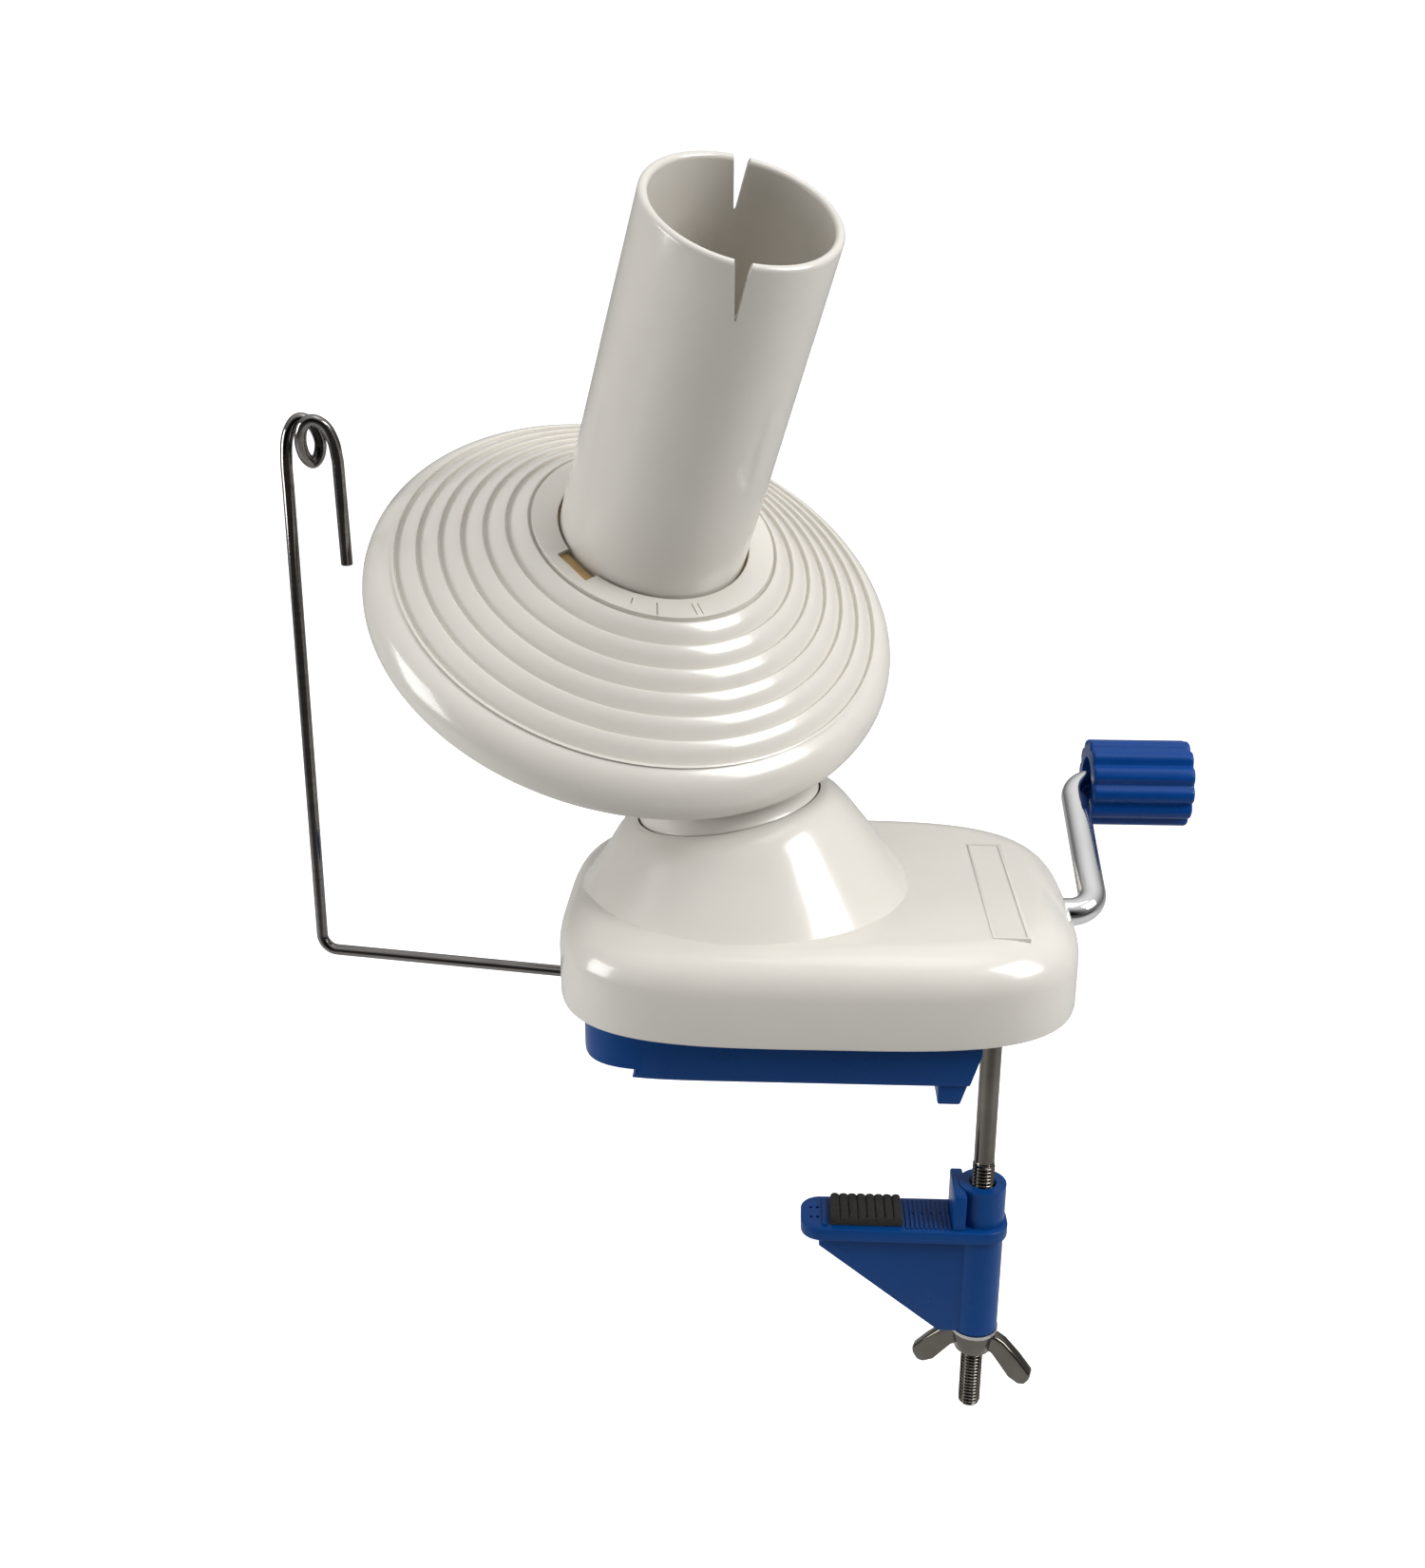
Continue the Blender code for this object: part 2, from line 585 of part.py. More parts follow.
# fixed gear on the post, ring gear on the spool: cones with their common apex at the crossing point
sr = RING_TEETH / SUN_TEETH
D_SUN = math.degrees(math.atan(math.sin(tilt) / (sr + math.cos(tilt))))
D_RING = TILT - D_SUN
# the fixed gear keeps a tooth on the rotor's resting line of contact, the -X side of the rotor
sun = add("sun_gear", bevel_gear_mesh("sun_gear", SUN_TEETH, D_SUN, RING_SLANT, 5.0, 1.9, 0.74, 0.6, 0.0), steel("sun_gear", 0.4), rotor_axis.parent)
sun.matrix_local = at(0, 0, SEAM_Z) @ rot(-LEAN, "Y") @ rot(REST_TURN, "Z") @ at(0, 0, CROSS_T) @ rot(180, "Y")

hub_mat = mat_for("spool_hub", (0.62, 0.42, 0.18), 0.45)
hub = add("spool_hub", bevel_gear_mesh("spool_hub", RING_TEETH, D_RING, RING_SLANT, 5.0, 4.05, 0.74, 0.8, 0.5), hub_mat, spool_axis, rot(180, "Y"))
cut_turned(hub, "hub_sleeve", [(4.05, -16.3), (17.0, -16.3), (17.0, -8.5), (19.5, -8.5), (19.5, -16.3), (25.6, -16.3), (25.6, -19.2), (7.2, -19.2), (7.2, -33.0), (4.05, -33.0)], "UNION", steps=28, parent=spool_axis)
turned("axle_washer", ring_profile(7.0, 1.8, -12.9, -13.7), steel("axle_washer"), SEG_S, spool_axis)
screw = turned("axle_screw", [(0, -10.2), (2.6, -10.2), (3.0, -10.6), (3.0, -12.6), (1.35, -12.6), (1.35, -27.0), (0, -27.0)], steel("axle_screw"), SEG_S, spool_axis)
cut(screw, box_mesh("axle_slot", -4, 4, -0.4, 0.4, -11.2, -9), parent=spool_axis)

# ---------------------------------------------------------------- spool
RIM_C, RIM_Z, RIM_R = 55.8, -38.2, 8.3
outer = [(23.0, -14.0), (28.6, -14.2)]
for k in range(6, -1, -1):
    r, z = 57.8 - 4.75 * k, -29.6 + 2.5 * k
    outer += [(r - 0.35, z - 0.85), (r, z)]
for ang in (70, 50, 30, 12, -4, -18):
    a = math.radians(ang)
    outer.append((RIM_C + RIM_R * math.cos(a), RIM_Z + RIM_R * math.sin(a)))
inner = [(RIM_C + (RIM_R - 2) * math.cos(math.radians(a)), RIM_Z + (RIM_R - 2) * math.sin(math.radians(a))) for a in (-22, 5, 35, 62)]
inner += [(28.2, -16.9), (28.2, -19.4), (26.0, -19.4), (26.0, -16.0), (23.0, -16.0)]
disk = turned("spool_disk", outer + inner, mat_for("spool_disk", IVORY, 0.22), 40, spool_axis)
cut(disk, box_mesh("key_notch", 22.0, 25.2, -5, 5, -15.98, -10), parent=spool_axis, matrix=rot(-84, "Z"))

tube_profile = [(TUBE_R_TOP - 2.0, TUBE_TOP - 1.2), (TUBE_R_TOP - 1.4, TUBE_TOP - 0.2), (TUBE_R_TOP - 0.8, TUBE_TOP), (TUBE_R_TOP - 0.2, TUBE_TOP - 0.4), (TUBE_R_TOP, TUBE_TOP - 1.4),
                (TUBE_R_LOW, -15.9), (TUBE_R_LOW - 2.0, -15.9)]
tube = turned("spool_tube", tube_profile, mat_for("spool_tube", IVORY, 0.22), SEG, spool_axis)
SLOT_TURN = -38.0
cut(tube, prism_mesh("yarn_slot", [(-1.7, TUBE_TOP + 3), (-1.5, TUBE_TOP - 1), (0.9, TUBE_TOP - 13.8), (1.5, TUBE_TOP - 13.8), (1.6, TUBE_TOP - 1), (1.7, TUBE_TOP + 3)], -30, 30, rot(90, "X")),
    parent=spool_axis, matrix=rot(SLOT_TURN + 90, "Z"))

# ---------------------------------------------------------------- crank
ARM_X, PIN_Y, PIN_Z = 88.8, 42.8, 45.4
crank_mesh = wire_mesh("crank_rod", fillet_path(
    [(11.2, 0, 0), (ARM_X, 0, 0), (ARM_X, PIN_Y, PIN_Z - SHAFT_Z), (117.0, PIN_Y, PIN_Z - SHAFT_Z)], [6.5, 6.5], 6), SHAFT_R, 4)
crank_mesh.transform(rot(-90, "Y"))
add("crank_rod", crank_mesh, mat_for("crank_rod", (0.72, 0.72, 0.72), 0.08, 1.0), crank_axis)
turned("crank_bush_inner", [(3.5, 37.8), (5.6, 37.8), (5.6, 37.2), (4.5, 37.2), (4.5, 32.6), (3.5, 32.6)][::-1][::-1], mat_for("crank_bush_inner", (0.65, 0.47, 0.22), 0.4, 1.0), SEG_S, crank_axis)
turned("crank_bush_outer", [(3.5, 74.2), (4.85, 74.2), (4.85, 73.6), (4.5, 73.6), (4.5, 69.0), (3.5, 69.0)], mat_for("crank_bush_outer", (0.65, 0.47, 0.22), 0.4, 1.0), SEG_S, crank_axis)

grip_axis = empty("grip_axis", crank_axis, rot(-90, "Y") @ at(0, PIN_Y, PIN_Z - SHAFT_Z) @ rot(90, "Y"))
FLUTES = 12


def grip_ring(x, r, depth):
    ring = []
    for k in range(FLUTES):
        for j, d in enumerate((0.0, 0.0, 1.0, 1.0)):
            a = math.tau * (k + j / 4) / FLUTES
            ring.append(((r - depth * d) * math.cos(a), (r - depth * d) * math.sin(a), x))
    return ring


grip = add("crank_grip", loft_mesh("crank_grip", [
    grip_ring(92.6, 10.4, 0.5), grip_ring(93.0, 11.3, 0.8), grip_ring(117.6, 11.3, 0.8), grip_ring(118.4, 10.4, 0.5)]),
    mat_for("crank_grip", BLUE, 0.35), grip_axis)
cut_turned(grip, "grip_bore", [(0, 130), (7.2, 130), (7.2, 114.5), (3.6, 114.5), (3.6, 97.5), (6.6, 97.5), (6.6, 80), (0, 80)], steps=20, parent=grip_axis)
turned("grip_retainer", [(3.55, 116.3), (5.0, 116.3), (6.2, 115.7), (6.2, 114.9), (3.55, 114.9)], steel("grip_retainer"), 20, grip_axis)

# ---------------------------------------------------------------- yarn guide
CX, CY = -106.7, 17.95
guide_axis = empty("guide_axis", None, Matrix.Translation(Vector((LEG_A.x, LEG_A.y, GUIDE_Z)) * MM))
head = smooth_path([(-105.3, CY, 125.0), (-105.25, CY, 131.0), (-104.7, CY + 0.3, 136.5), (-103.2, CY + 0.9, 139.9), (-101.3, CY + 1.5, 141.0), (-99.0, CY + 2.2, 139.6),
                    (-97.6, CY + 2.6, 136.0), (-97.9, CY + 2.4, 132.6), (-99.3, CY + 1.4, 130.8), (-100.7, CY - 0.2, 132.6), (-101.0, CY - 1.6, 136.2), (-100.0, CY - 2.4, 139.6),
                    (-97.6, CY - 2.4, 141.1), (-94.9, CY - 1.8, 139.6), (-93.3, CY - 1.3, 136.0), (-92.7, CY - 1.0, 131.5)], 3)
path = fillet_path([Vector((-11.8, LEG_A.y - (LEG_A.x + 11.8) * LEG_DIR.y / LEG_DIR.x * -1.0, GUIDE_Z)), Vector((CX, CY, GUIDE_Z)), head[0]], [4.0], 5)
path[0] = Vector((-11.8, LEG_A.y + (-11.8 - LEG_A.x) * LEG_DIR.y / LEG_DIR.x, GUIDE_Z))
path = path[:-1] + head + [Vector((-92.5, CY - 0.6, 106.6))]
guide_mesh = wire_mesh("guide_wire", [p - Vector((LEG_A.x, LEG_A.y, GUIDE_Z)) for p in path], WIRE_R, 2)
add("guide_wire", guide_mesh, mat_for("guide_wire", (0.45, 0.45, 0.45), 0.15, 1.0), guide_axis)
turned("guide_clip", ring_profile(2.15, 1.5, 25.4, 23.8), steel("guide_clip"), 16, None, along_leg(0))

# ---------------------------------------------------------------- table clamp
rod_mesh = wire_mesh("clamp_rod", fillet_path([(53.6, 0, 12.9), (ROD_X, 0, 12.9), (ROD_X, 0, -44.0)], [4.5], 6), ROD_R, 4)
rod = add("clamp_rod", rod_mesh, steel("clamp_rod", 0.25))
cut_turned(rod, "thread", rod_profile(THREAD_R, -42.6, ROD_END, 0.4), "UNION", steps=24, matrix=at(ROD_X, 0, 0))

clamp_axis = empty("clamp_axis", None, at(ROD_X, 0, 0))
jaw_mat = mat_for("clamp_jaw", BLUE, 0.35)
plate = [(19.2, -3), (19.2, 3), (21.5, 6.6), (24.5, 7.6), (66.0, 7.8), (71.0, 5.6), (72.8, 2), (72.8, -2), (71.0, -5.6), (66.0, -7.8), (24.5, -7.6), (21.5, -6.6)]
jaw = add("clamp_jaw", prism_mesh("clamp_jaw", plate, JAW_TOP - 3.5, JAW_TOP), jaw_mat, clamp_axis)
jaw.data.transform(at(-ROD_X, 0, 0))
JX = at(-ROD_X, 0, 0)


def jaw_add(mesh):
    mesh.transform(JX)
    cut(jaw, mesh, "UNION", parent=clamp_axis)


jaw_add(cylinder_mesh("jaw_boss", 6.1, JAW_BOSS_TOP - JAW_BOTTOM, SEG_S, at(ROD_X, 0, (JAW_BOSS_TOP + JAW_BOTTOM) / 2)))
jaw_add(prism_mesh("jaw_web", [(24.0, JAW_TOP - 2), (24.0, -67.2), (56.0, -92.7), (66.0, -92.7), (66.0, JAW_TOP - 2)], -4.4, 4.4, rot(90, "X")))
jaw_add(box_mesh("jaw_fence", 58.2, 61.4, -6.8, 6.8, JAW_TOP - 2, -49.8))
jaw_add(box_mesh("jaw_lip", 23.0, 26.2, -5.2, 5.2, -65.0, JAW_TOP - 2))
for i in range(5):
    x = 47.4 + 2.1 * i
    jaw_add(box_mesh("jaw_rib_%d" % i, x, x + 1.1, -6.6, 6.6, JAW_TOP - 1, JAW_TOP + 0.6))
jaw_add(box_mesh("pad_sill", 24.6, 26.2, -6.2, 6.2, JAW_TOP - 1, JAW_TOP + 0.6))
c = cylinder_mesh("jaw_bore", THREAD_R + 0.2, 80, SEG_S, at(ROD_X, 0, -70))
c.transform(JX)
cut(jaw, c, parent=clamp_axis)

pad = add("jaw_pad", box_mesh("jaw_pad", 27.0 - ROD_X, 45.4 - ROD_X, -5.6, 5.6, JAW_TOP + 0.2, JAW_TOP + 2.8), mat_for("jaw_pad", (0.02, 0.02, 0.02), 0.9), clamp_axis)
for i in range(8):
    x = 28.3 + 2.25 * i - ROD_X
    cut(pad, box_mesh("pad_groove_%d" % i, x, x + 0.8, -8, 8, JAW_TOP + 2.1, JAW_TOP + 5), parent=clamp_axis)

turned("clamp_washer", ring_profile(6.4, THREAD_R + 0.15, JAW_BOTTOM - 0.2, JAW_BOTTOM - 1.2), steel("clamp_washer"), SEG_S, clamp_axis)
nut_axis = empty("nut_axis", clamp_axis, rot(0, "Z"))
nut = turned("wing_nut", [(THREAD_R + 0.1, JAW_BOTTOM - 1.4), (5.6, JAW_BOTTOM - 1.4), (5.6, JAW_BOTTOM - 3.4), (4.8, JAW_BOTTOM - 7.6), (THREAD_R + 0.1, JAW_BOTTOM - 7.6)], steel("wing_nut", 0.3), SEG_S, nut_axis)
NUT_TURN = -18.0
for side, sgn in (("left", -1), ("right", 1)):
    wing = [(sgn * 4.2, JAW_BOTTOM - 2.0), (sgn * 8.6, JAW_BOTTOM - 3.0), (sgn * 16.2, JAW_BOTTOM - 11.8), (sgn * 15.4, JAW_BOTTOM - 15.0), (sgn * 12.2, JAW_BOTTOM - 15.6), (sgn * 4.2, JAW_BOTTOM - 7.0)]
    cut(nut, prism_mesh("wing_" + side, wing, -1.75, 1.75, rot(90, "X")), "UNION", parent=nut_axis, matrix=rot(NUT_TURN, "Z"))
c = cylinder_mesh("nut_bore", THREAD_R + 0.1, 60, SEG_S, at(0, 0, JAW_BOTTOM))
cut(nut, c, parent=nut_axis)

# ---------------------------------------------------------------- casing screws
for i, (x, y) in enumerate(SCREWS):
    z0 = (TRAY_STEP_Z if x < 0 else 0.5) + 4.5   # seat of the screw's head
    s = turned("cover_screw_%d" % (i + 1), [(0, 22.5), (1.35, 22.5), (1.35, z0 - 0.2), (2.9, z0 - 0.2), (2.9, z0 - 1.8), (2.3, z0 - 2.3), (0, z0 - 2.3)], steel("cover_screw_%d" % (i + 1)), 16, None, at(x, y, 0))
    cut(s, box_mesh("cross_slot_%d" % i, -1.7, 1.7, -0.35, 0.35, z0 - 4, z0 - 1.5), matrix=at(x, y, 0))
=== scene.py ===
import math

import bmesh
import bpy
from mathutils import Matrix, Vector
import json


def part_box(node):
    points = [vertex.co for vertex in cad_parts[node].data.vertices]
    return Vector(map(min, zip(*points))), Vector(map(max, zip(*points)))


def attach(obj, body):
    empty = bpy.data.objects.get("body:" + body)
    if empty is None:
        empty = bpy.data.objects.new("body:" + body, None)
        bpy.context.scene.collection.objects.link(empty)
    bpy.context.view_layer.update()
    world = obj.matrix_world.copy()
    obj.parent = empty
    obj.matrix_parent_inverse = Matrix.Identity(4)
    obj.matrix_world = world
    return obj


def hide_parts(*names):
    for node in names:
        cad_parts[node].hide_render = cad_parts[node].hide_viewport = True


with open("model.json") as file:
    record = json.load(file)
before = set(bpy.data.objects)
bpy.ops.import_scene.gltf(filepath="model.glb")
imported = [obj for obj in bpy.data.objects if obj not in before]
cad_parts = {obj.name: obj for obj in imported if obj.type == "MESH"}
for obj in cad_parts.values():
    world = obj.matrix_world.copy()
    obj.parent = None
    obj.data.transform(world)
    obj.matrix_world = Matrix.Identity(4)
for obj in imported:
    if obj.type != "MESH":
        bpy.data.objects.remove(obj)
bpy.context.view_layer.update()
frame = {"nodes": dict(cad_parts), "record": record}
MM = 0.001
J = {j["name"]: j for j in frame["record"]["behaviour"]["joints"]}

# ------------------------------------------------------------------ axes, from the record
SEAM = Vector(J["rotor_turn"]["pos_m"])
M_AX = Vector(J["rotor_turn"]["axis"]).normalized()
Q = Vector(J["spool_spin"]["pos_m"])
S_AX = Vector(J["spool_spin"]["axis"]).normalized()
TILT = M_AX.angle(S_AX)
LEAN = math.atan2(-M_AX.x, M_AX.z)
CROSS_T = (Q - SEAM).length / MM
e1 = (S_AX - M_AX * S_AX.dot(M_AX)).normalized()
e2 = M_AX.cross(e1)


def basis(x, y, z, o):
    m = Matrix((x, y, z)).transposed().to_4x4()
    m.translation = o
    return m


MAIN = basis(Vector((math.cos(LEAN), 0, math.sin(LEAN))), Vector((0, 1, 0)), M_AX, SEAM)
ROTOR = basis(e1, e2, M_AX, SEAM)
xs = (e1 * math.cos(TILT) - M_AX * math.sin(TILT)).normalized()
SPOOL = basis(xs, S_AX.cross(xs), S_AX, Q)
SHAFT_Z = J["crank_turn"]["pos_m"][2] / MM
PIN_Y = J["grip_spin"]["pos_m"][1] / MM
PIN_Z = J["grip_spin"]["pos_m"][2] / MM
ROD_X = J["nut_turn"]["pos_m"][0] / MM
LEG = Vector(J["guide_swivel"]["pos_m"]) / MM


def span(node):
    lo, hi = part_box(node)
    return lo / MM, hi / MM


cov_lo, cov_hi = span("cover")
jaw_lo, jaw_hi = span("clamp_jaw")
rod_lo, rod_hi = span("clamp_rod")
grip_lo, grip_hi = span("crank_grip")
nut_lo, nut_hi = span("wing_nut")
gw_lo, gw_hi = span("guide_wire")
tray_lo, tray_hi = span("base_tray")
pad_lo, pad_hi = span("jaw_pad")

# ------------------------------------------------------------------ materials


class Nodes:
    def __init__(self, name):
        self.m = bpy.data.materials.new(name)
        self.m.use_nodes = True
        self.t = self.m.node_tree
        self.p = self.t.nodes["Principled BSDF"]
        self.co = self.t.nodes.new("ShaderNodeTexCoord")

    def new(self, kind, **props):
        n = self.t.nodes.new(kind)
        for k, v in props.items():
            setattr(n, k, v)
        return n

    def link(self, a, b):
        self.t.links.new(a, b)

    def noise(self, scale, detail=3.0, rough=0.5, stretch=None):
        n = self.new("ShaderNodeTexNoise")
        n.inputs["Scale"].default_value = scale
        n.inputs["Detail"].default_value = detail
        n.inputs["Roughness"].default_value = rough
        if stretch:
            mp = self.new("ShaderNodeMapping")
            mp.inputs["Scale"].default_value = stretch
            self.link(self.co.outputs["Object"], mp.inputs["Vector"])
            self.link(mp.outputs["Vector"], n.inputs["Vector"])
        else:
            self.link(self.co.outputs["Object"], n.inputs["Vector"])
        return n.outputs["Fac"]

    def ramp(self, fac, stops):
        r = self.new("ShaderNodeValToRGB")
        els = r.color_ramp.elements
        while len(els) < len(stops):
            els.new(0.5)
        for e, (pos, col) in zip(els, stops):
            e.position = pos
            e.color = (*col, 1.0) if len(col) == 3 else col
        self.link(fac, r.inputs["Fac"])
        return r.outputs["Color"]

    def value(self, fac, lo, hi, a=0.3, b=0.7):
        r = self.new("ShaderNodeMapRange")
        for k, v in (("From Min", a), ("From Max", b), ("To Min", lo), ("To Max", hi)):
            r.inputs[k].default_value = v
        self.link(fac, r.inputs["Value"])
        return r.outputs["Result"]

    def bump(self, height, strength, distance):
        b = self.new("ShaderNodeBump")
        b.inputs["Strength"].default_value = strength
        b.inputs["Distance"].default_value = distance
        self.link(height, b.inputs["Height"])
        self.link(b.outputs["Normal"], self.p.inputs["Normal"])


def plastic(name, dark, light, rough=(0.2, 0.28), coat=0.0, spec=0.5, sss=0.0, bump=0.03):
    n = Nodes(name)
    f = n.noise(35.0, 4.0)
    n.link(n.ramp(f, [(0.3, dark), (0.7, light)]), n.p.inputs["Base Color"])
    n.link(n.value(n.noise(140.0, 3.0), *rough), n.p.inputs["Roughness"])
    n.p.inputs["Specular IOR Level"].default_value = spec
    n.p.inputs["Coat Weight"].default_value = coat
    n.p.inputs["Coat Roughness"].default_value = 0.08
    if sss:
        n.p.inputs["Subsurface Weight"].default_value = sss
        n.p.inputs["Subsurface Radius"].default_value = (0.004, 0.003, 0.002)
        n.p.inputs["Subsurface Scale"].default_value = 0.5
    n.bump(n.noise(900.0, 2.0), bump, 0.0002)
    return n.m


def metal(name, dark, light, rough=(0.1, 0.18), stretch=None, bump=0.02, scale=60.0):
    n = Nodes(name)
    f = n.noise(scale, 4.0, 0.6, stretch)
    n.link(n.ramp(f, [(0.3, dark), (0.7, light)]), n.p.inputs["Base Color"])
    n.p.inputs["Metallic"].default_value = 1.0
    n.link(n.value(n.noise(scale * 3, 3.0, 0.6, stretch), *rough), n.p.inputs["Roughness"])
    n.bump(n.noise(scale * 8, 2.0), bump, 0.0001)
    return n.m


ivory = plastic("ivory_plastic", (0.665, 0.635, 0.58), (0.69, 0.66, 0.605), (0.20, 0.27), coat=0.35, sss=0.05)
ivory_in = plastic("ivory_plastic_inside", (0.60, 0.57, 0.52), (0.63, 0.60, 0.55), (0.3, 0.4))
blue = plastic("blue_plastic", (0.0015, 0.047, 0.20), (0.002, 0.054, 0.23), (0.26, 0.34), spec=0.18, bump=0.0)
blue_grip = plastic("blue_grip", (0.0015, 0.045, 0.22), (0.002, 0.052, 0.25), (0.25, 0.33), spec=0.18, bump=0.0)
amber = plastic("amber_nylon", (0.42, 0.27, 0.10), (0.50, 0.33, 0.14), (0.35, 0.45), sss=0.1)
nylon = plastic("natural_nylon", (0.62, 0.60, 0.54), (0.68, 0.66, 0.60), (0.4, 0.5))
chrome = metal("bright_chrome", (0.70, 0.70, 0.70), (0.78, 0.78, 0.78), (0.03, 0.07), bump=0.01)
dark_wire = metal("drawn_wire", (0.17, 0.16, 0.155), (0.25, 0.24, 0.23), (0.08, 0.13), stretch=(1, 1, 12))
# nickel plate whose base colour is darkened far below real nickel: painted dark reflection of the surroundings, used on
# the clamp rod, its thread and the wing nut
nickel_painted_dark = metal("nickel_plate_painted_dark_reflection", (0.13, 0.118, 0.10), (0.20, 0.185, 0.165), (0.10, 0.18))
steel = metal("turned_steel", (0.45, 0.45, 0.45), (0.6, 0.6, 0.6), (0.22, 0.34))
zinc = metal("zinc_plate", (0.50, 0.50, 0.50), (0.64, 0.64, 0.62), (0.25, 0.4))
bronze = metal("bronze", (0.48, 0.32, 0.14), (0.60, 0.42, 0.20), (0.25, 0.38))


def foam_material():
    n = Nodes("black_foam")
    f = n.noise(1400.0, 5.0, 0.7)
    n.link(n.ramp(f, [(0.3, (0.006, 0.006, 0.005)), (0.75, (0.035, 0.03, 0.026))]), n.p.inputs["Base Color"])
    n.link(n.value(f, 0.8, 1.0), n.p.inputs["Roughness"])
    n.bump(f, 0.6, 0.0006)
    return n.m


foam = foam_material()

# ------------------------------------------------------------------ mesh helpers
PIECES = bpy.data.collections.new("visual")
bpy.context.scene.collection.children.link(PIECES)


def place(name, me, mat, matrix=None, smooth=30.0):
    me.materials.clear()
    me.materials.append(mat)
    if smooth:
        me.shade_smooth()
        me.set_sharp_from_angle(angle=math.radians(smooth))
    ob = bpy.data.objects.new(name, me)
    PIECES.objects.link(ob)
    if matrix is not None:
        ob.matrix_world = matrix
    return ob


def done(bm, name):
    bmesh.ops.recalc_face_normals(bm, faces=bm.faces)
    me = bpy.data.meshes.new(name)
    bm.to_mesh(me)
    bm.free()
    return me


def at(x=0, y=0, z=0):
    return Matrix.Translation(Vector((x, y, z)) * MM)


def rot(deg, axis):
    return Matrix.Rotation(math.radians(deg), 4, axis)


def lathe(name, profile, steps=128, closed=True):
    """Profile of (radius, height) in mm turned about local Z."""
    bm = bmesh.new()
    rings = []
    for r, z in profile:
        if r < 1e-6:
            rings.append([bm.verts.new((0, 0, z * MM))])
        else:
            rings.append([bm.verts.new((r * MM * math.cos(math.tau * i / steps), r * MM * math.sin(math.tau * i / steps), z * MM)) for i in range(steps)])
    pairs = list(zip(rings, rings[1:]))
    if closed and len(rings[0]) > 1:
        pairs.append((rings[-1], rings[0]))
    for a, b in pairs:
        for i in range(steps):
            j = (i + 1) % steps
            if len(a) == 1 and len(b) == 1:
                continue
            if len(a) == 1:
                bm.faces.new((a[0], b[j], b[i]))
            elif len(b) == 1:
                bm.faces.new((a[i], a[j], b[0]))
            else:
                bm.faces.new((a[i], a[j], b[j], b[i]))
    return done(bm, name)


def loft(name, rings, caps=True):
    bm = bmesh.new()
    loops = [[bm.verts.new(Vector(p) * MM) for p in ring] for ring in rings]
    n = len(loops[0])
    for a, b in zip(loops, loops[1:]):
        for i in range(n):
            j = (i + 1) % n
            bm.faces.new((a[i], a[j], b[j], b[i]))
    if caps:
        bm.faces.new(loops[0][::-1])
        bm.faces.new(loops[-1])
    else:
        a, b = loops[-1], loops[0]
        for i in range(n):
            j = (i + 1) % n
            bm.faces.new((a[i], a[j], b[j], b[i]))
    return done(bm, name)


def prism(name, outline, z0, z1, matrix=None, bevel=0.0, segments=3):
    bm = bmesh.new()
    face = bm.faces.new([bm.verts.new((x * MM, y * MM, z0 * MM)) for x, y in outline])
    out = bmesh.ops.extrude_face_region(bm, geom=[face])
    verts = [g for g in out["geom"] if isinstance(g, bmesh.types.BMVert)]
    bmesh.ops.translate(bm, verts=verts, vec=(0, 0, (z1 - z0) * MM))
    bmesh.ops.recalc_face_normals(bm, faces=bm.faces)
    if bevel:
        edges = [e for e in bm.edges if e.calc_face_angle(0) > math.radians(25)]
        bmesh.ops.bevel(bm, geom=edges, offset=bevel * MM, segments=segments, profile=0.5, affect="EDGES", clamp_overlap=True)
    if matrix is not None:
        bmesh.ops.transform(bm, matrix=matrix, verts=bm.verts)
    return done(bm, name)


def block(name, x0, x1, y0, y1, z0, z1, bevel=0.0, segments=3):
    return prism(name, [(x0, y0), (x1, y0), (x1, y1), (x0, y1)], z0, z1, None, bevel, segments)


def cyl(name, r, depth, segments=48, matrix=None, r2=None):
    bm = bmesh.new()
    bmesh.ops.create_cone(bm, cap_ends=True, segments=segments, radius1=r * MM, radius2=(r if r2 is None else r2) * MM, depth=depth * MM, matrix=matrix or Matrix.Identity(4))
    return done(bm, name)


def cut(ob, me, op="DIFFERENCE", matrix=None):
    c = bpy.data.objects.new("cutter", me)
    PIECES.objects.link(c)
    if matrix is not None:
        c.matrix_world = matrix
    m = ob.modifiers.new("b", "BOOLEAN")
    m.operation, m.solver, m.object = op, "EXACT", c
    bpy.context.view_layer.update()
    new = bpy.data.meshes.new_from_object(ob.evaluated_get(bpy.context.evaluated_depsgraph_get()))
    ob.modifiers.clear()
    mats = [s for s in ob.data.materials]
    ob.data = new
    new.materials.clear()
    for s in mats:
        new.materials.append(s)
    bpy.data.objects.remove(c, do_unlink=True)
    return ob


def resmooth(ob, angle=30.0):
    ob.data.shade_smooth()
    ob.data.set_sharp_from_angle(angle=math.radians(angle))


